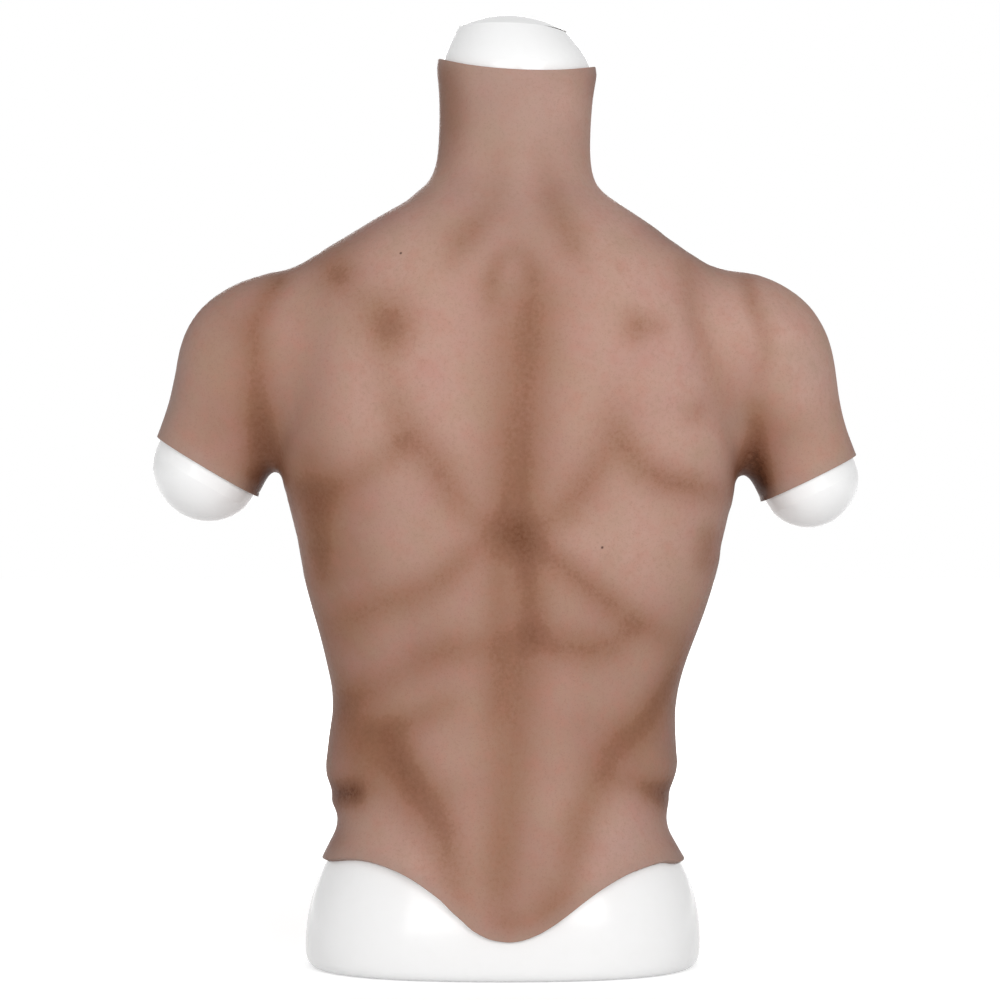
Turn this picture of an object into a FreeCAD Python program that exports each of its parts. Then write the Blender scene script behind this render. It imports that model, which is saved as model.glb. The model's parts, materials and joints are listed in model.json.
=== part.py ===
import FreeCAD, Part
import math
import os
import Sketcher
from FreeCAD import Matrix, Placement, Rotation, Vector

# Headless male torso form with a moulded silicone muscle skin pulled over it.
# Millimetres. +Z up, +X the figure's left, the figure faces -Y.
# The origin is the middle of the stand socket's mouth, in the plane of the base.

doc = FreeCAD.newDocument("muscle_torso")
sheet = doc.addObject("Spreadsheet::Sheet", "Sizes")
UP = Vector(0, 0, 1)

SIZES = (
    ("form_wall", 4.0, "wall of the moulded form"),
    ("seam_place", -4.0, "plane in which the form's halves meet"),
    ("skin_gap", 0.5, "skin to form"),
    ("bond_gap", 0.3, "glue line round what is bonded into the form"),
    ("hem_level", 95.0, "lower edge of the skin over the hips"),
    ("hem_middle", -5.0, "place of the hem's lowest point"),
    ("hem_back_dip", 62.0, "how far the hem drops in the middle of the back"),
    ("hem_back_spread", 69.5, "half breadth of that drop"),
    ("hem_front_dip", 70.0, "how far the hem drops in front"),
    ("hem_front_spread", 62.0, "half breadth of that drop in front"),
    ("hem_sharpness", 1.9, "how square the drop's shoulders are"),
    ("hem_side_dip", 8.0, "how far the hem drops again at the sides"),
    ("hem_side_spread", 20.0, "breadth of that drop"),
    ("neck_edge_drop", 26.0, "neck edge below the form's neck rim, at the sides"),
    ("neck_edge_back_dip", 14.0, "further drop of the neck edge at the nape"),
    ("neck_edge_front_rise", 5.0, "rise of the neck edge at the throat"),
    ("neck_edge_lean", 2.9, "sideways lean of the neck edge, degrees"),
    ("stub_length", 12.0, "form's arm stub past the sleeve"),
    ("left_cuff_swell", 4.5, "fuller outer side of the left arm above the sleeve's edge"),
    ("right_cuff_swell", 0.5, "the same on the right arm"),
    ("strap_breadth", 34.0, "lap strip over each side seam"),
    ("strap_thickness", 3.0, "thickness of the lap strip"),
    ("strap_clearance", 3.0, "lap strip's lower end above the base board"),
    ("strap_length", 340.0, "height of the lap strip"),
    ("base_board_thickness", 15.0, "board glued into the base"),
    ("flange_radius", 50.0, "stand flange"),
    ("flange_clearance", 0.4, "opening in the form round the flange"),
    ("pole_radius", 12.5, "stand pole that the socket takes"),
    ("pole_clearance", 0.3, "radial clearance of the pole"),
    ("tube_wall", 2.0, "wall of the socket tube"),
    ("tube_length", 220.0, "depth of the stand socket"),
    ("tube_clearance", 0.3, "board to tube, radial"),
    ("screw_circle", 36.0, "radius of the flange's screw circle"),
    ("screw_count", 4.0, "screws in the flange"),
    ("screw_radius", 2.5, "shank of a flange screw"),
    ("screw_head_radius", 5.0, "countersunk head"),
    ("screw_length", 15.0, "length of a flange screw"),
    ("screw_clearance", 0.1, "screw in its hole, radial"),
    ("screw_tip_radius", 0.5, "blunt point of a flange screw"),
    ("screw_slot_breadth", 1.2, "slot in its head"),
    ("screw_slot_depth", 1.25, "depth of that slot"),
    ("end_cap_top", 3.0, "top of the cap that closes the tube"),
    ("end_cap_wall", 2.0, "skirt of that cap"),
    ("end_cap_skirt", 12.0, "height of that skirt round the tube"),
    ("end_cap_clearance", 0.05, "skirt round the tube, radial"),
    ("fitting_board_thickness", 12.0, "boards in the neck and the arm stubs"),
    ("bush_flange_thickness", 2.0, "flange of a peg bush"),
    ("bush_flange_radius", 10.0, "flange of a peg bush"),
    ("bush_radius", 7.5, "barrel of a peg bush"),
    ("bush_clearance", 0.1, "bush in its board, radial"),
    ("bush_tail", 10.0, "bush barrel past the back of its board"),
    ("bush_recess", 1.0, "bush flange under the rim plane"),
    ("peg_radius", 5.0, "cap peg"),
    ("peg_clearance", 0.04, "peg in its bush, radial"),
    ("peg_chamfer", 1.2, "lead-in on a peg"),
    ("peg_reach", 24.0, "peg below the cap's rim"),
    ("peg_grip", 7.0, "peg in the cap's boss"),
    ("peg_bond_gap", 0.02, "glue round the peg in its boss"),
    ("cap_wall", 3.0, "wall of a cap"),
    ("cap_boss_radius", 8.0, "boss that holds a peg"),
    ("cap_overcut", 3.0, "how far a cap's hollow is cut past its rim"),
    ("neck_peg_pitch", 32.0, "between the neck cap's pegs"),
    ("arm_peg_pitch", 46.0, "between an arm cap's pegs"),
    ("neck_cap_rise", 12.2, "top of the neck cap above its rim"),
    ("neck_cap_sink", 70.0, "middle of the neck cap's dome below its rim"),
    ("left_arm_cap_rise", 33.4, "top of the left arm cap above its rim"),
    ("right_arm_cap_rise", 29.0, "top of the right arm cap above its rim"),
    ("cutting_margin", 6.0, "how far blanks and cutting blocks reach past what they trim"),
)

# Stations of the form, from the base up. Each station stands a rise above the one below.
# name, rise, half breadth, back, front, midline, squareness, lean in degrees, skin thickness
STATION_FIELDS = ("rise", "half_breadth", "back", "front", "midline", "squareness", "lean", "skin")
STATIONS = (
    ("foot", 0.0, 152.0, 107.0, -95.0, 2.0, 2.5, 0.0, 3.0),
    ("heel", 0.0, 161.5, 116.5, -104.5, 2.0, 2.5, 0.0, 3.0),
    ("thigh", 22.0, 162.5, 118.0, -106.0, 2.0, 2.5, 0.0, 3.0),
    ("hip", 28.0, 159.0, 117.0, -104.0, 1.5, 2.45, 0.0, 3.0),
    ("hem", 26.0, 151.0, 112.0, -101.0, 1.0, 2.4, 0.0, 3.0),
    ("crest", 20.0, 138.5, 107.0, -98.0, 2.0, 2.4, 0.0, 3.0),
    ("fold", 22.0, 126.5, 100.0, -95.0, 2.5, 2.35, 0.0, 3.5),
    ("flank", 32.0, 136.0, 90.0, -92.0, 3.5, 2.3, 0.0, 5.0),
    ("loin", 35.0, 134.0, 81.5, -89.0, 3.0, 2.3, 0.0, 5.0),
    ("waist", 31.0, 133.0, 77.5, -88.0, 0.5, 2.3, 0.0, 4.5),
    ("float_rib", 34.0, 143.0, 80.0, -90.0, -1.0, 2.3, 0.0, 4.5),
    ("low_rib", 40.0, 156.0, 87.0, -95.0, -3.5, 2.35, 0.0, 5.0),
    ("mid_rib", 45.0, 166.5, 96.0, -101.0, -4.0, 2.4, 0.0, 5.5),
    ("high_rib", 45.0, 173.0, 105.0, -107.0, -4.0, 2.4, 0.0, 6.0),
    ("armpit", 45.0, 185.0, 111.0, -111.0, -3.0, 2.45, 0.0, 6.0),
    ("chest", 45.0, 186.0, 114.5, -110.0, -2.0, 2.45, 0.0, 6.0),
    ("shoulder", 45.0, 184.0, 113.5, -102.0, -1.0, 2.4, 0.0, 6.0),
    ("acromion", 33.0, 178.0, 107.0, -88.0, 0.0, 2.3, 0.0, 6.0),
    ("clavicle", 24.0, 168.5, 98.5, -72.0, 0.0, 2.15, 0.0, 5.5),
    ("trapezius", 20.0, 131.5, 89.5, -61.0, 0.0, 2.05, 0.0, 5.0),
    ("slope", 18.0, 105.0, 79.0, -54.0, -1.0, 2.0, 0.0, 5.0),
    ("neck_root", 18.0, 71.0, 67.5, -51.5, -4.0, 2.0, 0.0, 5.0),
    ("nape", 18.0, 60.0, 57.0, -54.0, -6.5, 2.0, 0.0, 4.5),
    ("throat", 24.0, 57.5, 52.0, -59.0, -7.5, 2.0, 0.0, 4.5),
    ("mid_neck", 30.0, 58.0, 49.5, -63.0, -8.5, 2.0, 0.6, 4.5),
    ("high_neck", 28.0, 60.0, 49.0, -67.0, -9.5, 2.0, 1.4, 4.0),
    ("upper_neck", 17.0, 64.5, 52.0, -69.0, -10.5, 2.0, 2.0, 4.8),
    ("neck_rim", 26.3, 45.8, 35.0, -58.0, -5.9, 2.0, 2.4, 3.0),
)

# Stations of an upper arm, from inside the chest out to the sleeve.
# name, outward from the midline, level, turn of the section in degrees,
# half height of the section, half depth, middle of the depth, skin thickness
ARM_FIELDS = ("out", "level", "turn", "half_height", "half_depth", "middle", "skin")
ARM_STATIONS = (
    ("root", 100.0, 500.0, 4.0, 68.0, 78.0, 6.0, 5.0),
    ("socket", 150.0, 501.0, 24.0, 77.0, 76.0, 5.0, 6.0),
    ("deltoid", 187.0, 493.0, 41.0, 80.0, 68.0, 0.0, 6.0),
    ("bulge", 212.6, 474.2, 53.0, 66.0, 60.0, -3.0, 6.0),
    ("upper_arm", 228.9, 449.1, 59.0, 47.0, 53.0, -6.0, 5.5),
)
SLEEVES = (
    ("left_sleeve", 246.5, 409.0, 59.3, 45.6, 49.0, -10.0, 3.0),
    ("right_sleeve", 252.0, 399.5, 63.9, 41.2, 46.0, -10.0, 3.0),
)

# Muscles moulded in the skin: face of the body (+1 back, -1 front), place out from
# the midline, level, half breadth, half height, swell above the plain skin.
MUSCLE_FIELDS = ("face", "out", "level", "half_breadth", "half_height", "swell")
PAIRED_MUSCLES = (
    ("shoulder_blade", 1, 92.0, 500.0, 52.0, 46.0, 11.0),
    ("latissimus", 1, 140.0, 400.0, 52.0, 75.0, 8.0),
    ("upper_trapezius", 1, 52.0, 585.0, 42.0, 42.0, 7.0),
    ("spinal_column", 1, 40.0, 300.0, 28.0, 190.0, 12.0),
    ("buttock", 1, 70.0, 70.0, 60.0, 42.0, 4.0),
    ("flank_roll", 1, 120.0, 170.0, 40.0, 40.0, 4.0),
    ("pectoral", -1, 78.0, 482.0, 60.0, 42.0, 24.0),
    ("upper_abdominal", -1, 36.0, 375.0, 28.0, 24.0, 9.0),
    ("middle_abdominal", -1, 36.0, 315.0, 28.0, 24.0, 9.0),
    ("lower_abdominal", -1, 36.0, 250.0, 28.0, 26.0, 9.0),
    ("belly", -1, 30.0, 170.0, 34.0, 48.0, 5.0),
    ("oblique", -1, 122.0, 180.0, 34.0, 52.0, 6.0),
    ("serratus", -1, 135.0, 380.0, 30.0, 45.0, 4.0),
)
MIDLINE_FURROWS = (
    ("spine_furrow", 1, 0.0, 350.0, 18.0, 210.0, -3.0),
    ("breastbone_furrow", -1, 0.0, 470.0, 20.0, 70.0, -5.0),
    ("abdomen_furrow", -1, 0.0, 280.0, 16.0, 130.0, -3.0),
)

# Side view of the skin's neck edge, from behind the nape to before the throat:
# face, place as a share of the neck's depth to that face, share of that face's dip or rise.
NECK_EDGE = (
    ("back", 2.5, 1.4),
    ("back", 1.0, 1.0),
    ("back", 0.35, 0.35),
    ("back", -0.25, 0.0),
    ("front", 1.0, 1.0),
    ("front", 2.5, 1.2),
)

SIDES = (("left", 1), ("right", -1))
RING_POLES = 36
ARM_POLES = 16
HEM_SPANS = 32


def fill_sheet():
    """Write every driving dimension into the spreadsheet under its alias."""
    rows = list(SIZES)
    for station in STATIONS:
        for field, value in zip(STATION_FIELDS, station[1:]):
            rows.append((station[0] + "_" + field, value, "torso station"))
    for station in ARM_STATIONS + SLEEVES:
        for field, value in zip(ARM_FIELDS, station[1:]):
            rows.append(("arm_" + station[0] + "_" + field, value, "arm station"))
    for muscle in PAIRED_MUSCLES + MIDLINE_FURROWS:
        for field, value in zip(MUSCLE_FIELDS, muscle[1:]):
            rows.append((muscle[0] + "_" + field, value, "muscle"))
    for number, (alias, value, note) in enumerate(rows, start=1):
        sheet.set("A%d" % number, alias)
        sheet.set("B%d" % number, str(value))
        sheet.set("C%d" % number, note)
        sheet.setAlias("B%d" % number, alias)
    doc.recompute()


def size(alias):
    """A driving dimension, read from the spreadsheet."""
    return float(sheet.get(alias))


fill_sheet()


# ---------------------------------------------------------------- curved solids

def spline_pull(poles):
    """How far a uniform cubic ring lies inside its poles, as a factor."""
    return (2.0 + math.cos(2.0 * math.pi / poles)) / 3.0


def torso_net():
    """Rings of poles of the form's outer surface, from the base to the neck rim."""
    rings = []
    level = 0.0
    for station in STATIONS:
        name = station[0]
        level += size(name + "_rise")
        breadth = size(name + "_half_breadth") / spline_pull(RING_POLES)
        depth = (size(name + "_back") - size(name + "_front")) / 2.0
        depth /= spline_pull(RING_POLES)
        middle = (size(name + "_back") + size(name + "_front")) / 2.0
        power = size(name + "_squareness")
        lean = Rotation(Vector(0, 1, 0), -size(name + "_lean"))
        centre = Vector(size(name + "_midline"), middle, level)
        ring = []
        for number in range(RING_POLES):
            turn = 2.0 * math.pi * number / RING_POLES
            angle = math.atan2(depth * math.sin(turn), breadth * math.cos(turn))
            reach = abs(math.cos(angle) / breadth) ** power + abs(math.sin(angle) / depth) ** power
            reach = reach ** (-1.0 / power)
            spoke = Vector(reach * math.cos(angle), reach * math.sin(angle), 0)
            ring.append(centre + lean.multVec(spoke))
        rings.append(ring)
    return rings


def arm_frame(name, side):
    """Centre, in-plane outward direction and half sizes of one arm section."""
    turn = math.radians(size("arm_" + name + "_turn"))
    centre = Vector(
        side * size("arm_" + name + "_out"),
        size("arm_" + name + "_middle"),
        size("arm_" + name + "_level"),
    )
    outward = Vector(side * math.sin(turn), 0, math.cos(turn))
    axis = Vector(side * math.cos(turn), 0, -math.sin(turn))
    half_height = size("arm_" + name + "_half_height")
    half_depth = size("arm_" + name + "_half_depth")
    return centre, outward, axis, half_height, half_depth


def arm_ring(centre, outward, half_height, half_depth):
    """One ring of poles across the arm."""
    pull = spline_pull(ARM_POLES)
    ring = []
    for number in range(ARM_POLES):
        turn = 2.0 * math.pi * number / ARM_POLES
        across = outward * (half_height / pull * math.cos(turn))
        ring.append(centre + across + Vector(0, half_depth / pull * math.sin(turn), 0))
    return ring


def arm_net(side_name, side):
    """Rings of poles of one arm of the form, ending at the stub's rim."""
    rings = []
    for station in ARM_STATIONS:
        centre, outward, _, half_height, half_depth = arm_frame(station[0], side)
        rings.append(arm_ring(centre, outward, half_height, half_depth))
    centre, outward, axis, half_height, half_depth = arm_frame(side_name + "_sleeve", side)
    stub = size("stub_length")
    swell = size(side_name + "_cuff_swell") / 2.0
    cuff = centre - axis * (2.0 * stub) + outward * swell
    rings.append(arm_ring(cuff, outward, half_height + swell, half_depth + swell))
    rings.append(arm_ring(centre, outward, half_height, half_depth))
    share = dome_share(stub, size(side_name + "_arm_cap_rise"))
    rings.append(arm_ring(centre + axis * stub, outward, half_height * share, half_depth * share))
    return rings


def dome_share(sink, rise):
    """Breadth of a dome at its rim, as a share of its greatest breadth, which lies sink below."""
    return math.sqrt(1.0 - (sink / (sink + rise)) ** 2)


def ring_centre(ring):
    total = Vector(0, 0, 0)
    for pole in ring:
        total = total + pole
    return total * (1.0 / len(ring))


def ring_normal(ring):
    """Unit normal of a flat ring, pointing the way the rings run."""
    quarter = len(ring) // 4
    middle = ring_centre(ring)
    return (ring[0] - middle).cross(ring[quarter] - middle).normalize()


def offset_net(rings, distance_at):
    """Move every pole along the net's own normal by distance_at(ring number, pole)."""
    moved = []
    last = len(rings) - 1
    for row, ring in enumerate(rings):
        middle = ring_centre(ring)
        below = rings[max(row - 1, 0)]
        above = rings[min(row + 1, last)]
        new_ring = []
        for column, pole in enumerate(ring):
            along = ring[(column + 1) % len(ring)] - ring[column - 1]
            rise = ring_normal(ring) if row in (0, last) else above[column] - below[column]
            normal = along.cross(rise).normalize()
            if normal.dot(pole - middle) < 0:
                normal = -normal
            new_ring.append(pole + normal * distance_at(row, pole))
        moved.append(new_ring)
    return moved


def with_floor(rings, distance):
    """Foot and heel rings of a torso net, offset squarely from the wall and the floor."""
    foot, heel = torso_net()[:2]
    floor = []
    for ring in (foot, heel):
        middle = ring_centre(ring)
        floor.append([])
        for pole in ring:
            spoke = (pole - middle).normalize()
            floor[-1].append(pole + spoke * distance - UP * distance)
    return floor + rings[2:]


def lengthened(rings, length):
    """The same net with one more ring past its last one."""
    last = rings[-1]
    direction = ring_normal(last)
    if direction.dot(ring_centre(last) - ring_centre(rings[-2])) < 0:
        direction = -direction
    return rings + [[pole + direction * length for pole in last]]


def spline_solid(rings):
    """Smooth closed solid over the rings of poles, with a flat face at each end."""
    columns = len(rings[0])
    poles = [[ring[column] for ring in rings] for column in range(columns)]
    around = list(range(columns + 1))
    along = list(range(len(rings) - 2))
    surface = Part.BSplineSurface()
    surface.buildFromPolesMultsKnots(
        poles, [1] * len(around), [4] + [1] * (len(along) - 2) + [4],
        around, along, True, False, 3, 3,
    )
    side = surface.toShape()
    last = len(rings) - 3
    rims = [surface.vIso(0).toShape(), surface.vIso(last).toShape()]
    ends = [Part.Face(Part.Wire(rim)) for rim in rims]
    shell = Part.Shell([side] + ends)
    shell.sewShape()
    solid = Part.Solid(shell)
    if solid.Volume < 0:
        solid.reverse()
    return solid


def muscle_swell(pole):
    """Swell of the muscles at one pole of the torso's skin."""
    total = 0.0
    middle = size("chest_midline")
    for names, mirrored in ((PAIRED_MUSCLES, True), (MIDLINE_FURROWS, False)):
        for muscle in names:
            name = muscle[0]
            if size(name + "_face") * pole.y < 0:
                continue
            across = abs(pole.x - middle) if mirrored else pole.x - middle
            across = (across - size(name + "_out")) / size(name + "_half_breadth")
            up = (pole.z - size(name + "_level")) / size(name + "_half_height")
            total += size(name + "_swell") * math.exp(-across * across - up * up)
    return total


def torso_layer(distance, past_rim):
    """Torso solid at a constant distance from the form's outer surface."""
    net = with_floor(offset_net(torso_net(), lambda row, pole: distance), distance)
    if past_rim > 0:
        net = lengthened(net, past_rim)
    return spline_solid(net)


def arm_layer(side_name, side, distance, past_rim):
    """Arm solid at a constant distance from the form's arm."""
    net = offset_net(arm_net(side_name, side), lambda row, pole: distance)
    if past_rim > 0:
        net = lengthened(net, past_rim)
    return spline_solid(net)


def skin_torso():
    """Torso part of the skin's outer surface, with its muscles."""
    thickness = [size(station[0] + "_skin") + size("skin_gap") for station in STATIONS]
    net = offset_net(torso_net(), lambda row, pole: thickness[row] + muscle_swell(pole))
    return spline_solid(with_floor(net, thickness[0]))


def skin_arm(side_name, side):
    """Arm part of the skin's outer surface."""
    names = [station[0] for station in ARM_STATIONS] + [side_name + "_sleeve"] * 3
    thickness = [size("arm_" + name + "_skin") + size("skin_gap") for name in names]
    net = offset_net(arm_net(side_name, side), lambda row, pole: thickness[row])
    return spline_solid(net)


# ---------------------------------------------------------------- document helpers

def feature(name, shape, placement=None):
    """Part::Feature that holds a shape made here."""
    item = doc.addObject("Part::Feature", name)
    item.Shape = shape
    if placement is not None:
        item.Placement = placement
    return item


def fused(name, items):
    item = doc.addObject("Part::MultiFuse", name)
    item.Shapes = items
    return item


def cut(name, base, tools):
    """Cut one or more tools from a base, and make sure that each takes material away."""
    for number, tool in enumerate(tools):
        last = number == len(tools) - 1
        item = doc.addObject("Part::Cut", name if last else "%s_step_%d" % (name, number))
        item.Base = base
        item.Tool = tool
        doc.recompute()
        if item.Shape.Volume >= base.Shape.Volume - 0.01:
            raise ValueError("%s: %s cuts nothing" % (name, tool.Name))
        base = item
    return base


def common(name, items):
    item = doc.addObject("Part::MultiCommon", name)
    item.Shapes = items
    return item


def cell(text):
    """An expression in which every alias of the sheet is addressed through it."""
    words = []
    for word in text.split():
        bare = word.strip("()")
        if bare and not bare.replace(".", "").isdigit() and bare[0].isalpha():
            word = word.replace(bare, "Sizes." + bare)
        words.append(word)
    return " ".join(words)


def bind(item, **expressions):
    """Bind properties of an object to expressions in the sheet's aliases."""
    for prop, expression in expressions.items():
        item.setExpression(prop, cell(expression))


def box(name, corner, lengths):
    item = doc.addObject("Part::Box", name)
    item.Length, item.Width, item.Height = lengths
    item.Placement = Placement(corner, Rotation())
    return item


def cylinder(name, radius, height, placement):
    """Part::Cylinder whose radius and height are expressions on the sheet."""
    item = doc.addObject("Part::Cylinder", name)
    bind(item, Radius=radius, Height=height)
    item.Placement = placement
    return item


def new_body(label):
    body = doc.addObject("PartDesign::Body", label)
    body.Label = label
    return body


def origin_plane(body, role):
    for item in body.Origin.OriginFeatures:
        if item.Role == role:
            return item
    raise ValueError("no plane " + role)


def new_sketch(body, name, role="XY_Plane", offset=None):
    sketch = body.newObject("Sketcher::SketchObject", name)
    sketch.AttachmentSupport = (origin_plane(body, role), [""])
    sketch.MapMode = "FlatFace"
    if offset is not None:
        sketch.setExpression("AttachmentOffset.Base.z", cell(offset))
    return sketch


def add_circle(sketch, name, radius, centre=Vector(0, 0, 0), place=None):
    """Circle with its radius, and its place along X if given, bound to the sheet."""
    index = sketch.addGeometry(Part.Circle(centre, Vector(0, 0, 1), 1.0), False)
    number = sketch.addConstraint(Sketcher.Constraint("Radius", index, 1.0))
    sketch.renameConstraint(number, name + "_radius")
    sketch.setExpression("Constraints." + name + "_radius", cell(radius))
    if place is None:
        sketch.addConstraint(Sketcher.Constraint("Coincident", index, 3, -1, 1))
    else:
        sketch.addConstraint(Sketcher.Constraint("PointOnObject", index, 3, -1))
        number = sketch.addConstraint(Sketcher.Constraint("DistanceX", -1, 1, index, 3, centre.x or 1.0))
        sketch.renameConstraint(number, name + "_place")
        sketch.setExpression("Constraints." + name + "_place", cell(place))
    return index


def pad(body, sketch, name, length, downward=False):
    item = body.newObject("PartDesign::Pad", name)
    item.Profile = sketch
    item.Reversed = downward
    bind(item, Length=length)
    return item


def pocket(body, sketch, name, length, upward=False):
    item = body.newObject("PartDesign::Pocket", name)
    item.Profile = sketch
    item.Reversed = upward
    bind(item, Length=length)
    return item


def group(name, template, placements):
    """Like solids in one node, each a copy of the template body at its own place."""
    copies = []
    for placement in placements:
        copy = template.Shape.copy()
        copy.Placement = placement
        copies.append(copy)
    return feature(name, Part.makeCompound(copies))


NODES = {}


def node(name, item):
    """Take an object as the sub-part of that name."""
    item.Label = name
    NODES[name] = item
    return item


# ---------------------------------------------------------------- places

def form_height():
    return sum(size(station[0] + "_rise") for station in STATIONS)


def frame_placement(origin, across, axis):
    """Placement whose Z is the axis and whose X lies across."""
    along = axis.cross(across)
    matrix = Matrix(
        across.x, along.x, axis.x, origin.x,
        across.y, along.y, axis.y, origin.y,
        across.z, along.z, axis.z, origin.z,
        0, 0, 0, 1,
    )
    return Placement(matrix)


def neck_place():
    """Rim plane of the neck: origin in its middle, Z out of the neck."""
    lean = Rotation(Vector(0, 1, 0), -size("neck_rim_lean"))
    middle = (size("neck_rim_back") + size("neck_rim_front")) / 2.0
    origin = Vector(size("neck_rim_midline"), middle, form_height())
    return frame_placement(origin, lean.multVec(Vector(1, 0, 0)), lean.multVec(UP))


def sleeve_place(side_name, side, past=0.0):
    """Plane across the arm at the sleeve's edge, or that far past it, Z along the arm."""
    centre, outward, axis, half_height, half_depth = arm_frame(side_name + "_sleeve", side)
    return frame_placement(centre + axis * past, outward, axis)


def moved_along(placement, distance, across=0.0):
    """The same frame, shifted along its own Z and its own Y."""
    return placement.multiply(Placement(Vector(0, across, distance), Rotation()))


# ---------------------------------------------------------------- form and skin

def layer(name, distance, past_rim):
    """Whole figure at a constant distance from the form's surface: torso and both arms."""
    items = [feature(name + "_torso", torso_layer(distance, past_rim))]
    for side_name, side in SIDES:
        arm = arm_layer(side_name, side, distance, past_rim)
        items.append(feature(name + "_" + side_name + "_arm", arm))
    return fused(name, items)


def make_form():
    """Front and back halves of the hollow torso form, with a round opening in the base."""
    reach = 2.0 * form_height()
    outer = layer("form_outside", 0.0, 0.0)
    cavity = layer("form_cavity", -size("form_wall"), 2.0 * size("stub_length"))
    opening = cylinder("flange_opening", "flange_radius + flange_clearance", "form_wall * 2", Placement())
    doc.recompute()
    hollow = cut("hollow_form", outer, [cavity, opening])
    seam = size("seam_place")
    back_room = box("back_room", Vector(-reach / 2, seam, -reach / 4), (reach, reach, 2 * reach))
    front_room = box("front_room", Vector(-reach / 2, seam - reach, -reach / 4), (reach, reach, 2 * reach))
    node("form_back_shell", common("form_back", [hollow, back_room]))
    node("form_front_shell", common("form_front", [hollow, front_room]))


def hem_height(face, x):
    """Level of the skin's lower edge at a place across one face of the body."""
    name = "hem_back" if face > 0 else "hem_front"
    off_middle = abs(x - size("hem_middle")) / size(name + "_spread")
    off_side = max(0.0, size("hem_half_breadth") - abs(x)) / size("hem_side_spread")
    drop = size(name + "_dip") * math.exp(-off_middle ** size("hem_sharpness"))
    side_drop = size("hem_side_dip") * math.exp(-off_side * off_side)
    return size("hem_level") - drop - side_drop


def hem_curve(face):
    """Lower edge of the skin on one face, as a curve in the XZ plane at y = 0."""
    edge = 2.0 * size("thigh_half_breadth")
    points = []
    for number in range(HEM_SPANS + 1):
        x = edge * math.sin(math.pi * (number / HEM_SPANS - 0.5))
        points.append(Vector(x, 0, hem_height(face, x)))
    curve = Part.BSplineCurve()
    curve.interpolate(points)
    return curve.toShape(), points[0], points[-1]


def below_hem(face):
    """Everything under the hem on one face of the body."""
    curve, start, end = hem_curve(face)
    floor = -size("form_wall") * 5
    corners = [end, Vector(end.x, 0, floor), Vector(start.x, 0, floor), start]
    outline = Part.Wire([curve] + [
        Part.makeLine(corners[number], corners[number + 1]) for number in range(3)
    ])
    return Part.Face(outline).extrude(Vector(0, face * form_height(), 0))


def above_neck_edge():
    """Everything over the skin's neck edge, which dips at the nape."""
    rim = neck_place().Base
    depth = {"back": size("upper_neck_back"), "front": size("upper_neck_front")}
    height = {"back": -size("neck_edge_back_dip"), "front": size("neck_edge_front_rise")}
    profile = []
    for face, share, part in NECK_EDGE:
        profile.append((share * depth[face], part * height[face]))
    curve = Part.BSplineCurve()
    curve.interpolate([Vector(0, y, rise) for y, rise in profile])
    top = form_height()
    start = Vector(0, profile[0][0], profile[0][1])
    end = Vector(0, profile[-1][0], profile[-1][1])
    corners = [end, Vector(0, end.y, top), Vector(0, start.y, top), start]
    outline = Part.Wire([curve.toShape()] + [
        Part.makeLine(corners[number], corners[number + 1]) for number in range(3)
    ])
    reach = form_height()
    outline.translate(Vector(-reach, 0, 0))
    solid = Part.Face(outline).extrude(Vector(2 * reach, 0, 0))
    level = rim.z - size("neck_edge_drop")
    lean = Rotation(Vector(0, 1, 0), -size("neck_edge_lean"))
    solid.rotate(Vector(), lean.Axis, math.degrees(lean.Angle))
    solid.translate(Vector(size("upper_neck_midline"), 0, level))
    return solid


def make_skin():
    """Muscle skin: one moulded shell over the form, cut at neck, sleeves and hem."""
    items = [feature("skin_outside_torso", skin_torso())]
    for side_name, side in SIDES:
        items.append(feature("skin_outside_%s_arm" % side_name, skin_arm(side_name, side)))
    outside = fused("skin_outside", items)
    inside = layer("skin_inside", size("skin_gap"), 2.0 * size("stub_length"))
    tools = [inside, feature("below_hem_back", below_hem(1)), feature("below_hem_front", below_hem(-1))]
    tools.append(feature("above_neck_edge", above_neck_edge()))
    for side_name, side in SIDES:
        half = max(arm_frame(side_name + "_sleeve", side)[3:])
        half += size("skin_gap") + size("arm_%s_sleeve_skin" % side_name) + size("cutting_margin")
        past = box("past_%s_sleeve" % side_name, Vector(), (2 * half, 2 * half, 4 * size("stub_length")))
        corner = Placement(Vector(-half, -half, 0), Rotation())
        past.Placement = sleeve_place(side_name, side).multiply(corner)
        tools.append(past)
    doc.recompute()
    node("muscle_skin", cut("skin", outside, tools))


# ---------------------------------------------------------------- inside the form

def lining():
    """Room inside the form, short of its wall by the glue line."""
    return layer("lining", -size("form_wall") - size("bond_gap"), 2.0 * size("stub_length"))


def make_straps():
    """Lap strips glued inside over the two side seams."""
    distance = -size("form_wall") - size("bond_gap")
    outer = feature("strap_outside", torso_layer(distance, 0.0))
    inner = feature("strap_inside", torso_layer(distance - size("strap_thickness"), 0.0))
    doc.recompute()
    band = cut("strap_band", outer, [inner])
    low = size("form_wall") + size("base_board_thickness") + size("strap_clearance")
    half = size("strap_breadth") / 2.0
    reach = size("chest_half_breadth") * 2.0
    for side_name, side in SIDES:
        corner = Vector(0.0 if side > 0 else -reach, size("seam_place") - half, low)
        room = box("strap_room_" + side_name, corner, (reach, 2 * half, size("strap_length")))
        node("seam_strap_" + side_name, common("strap_" + side_name, [band, room]))


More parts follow.
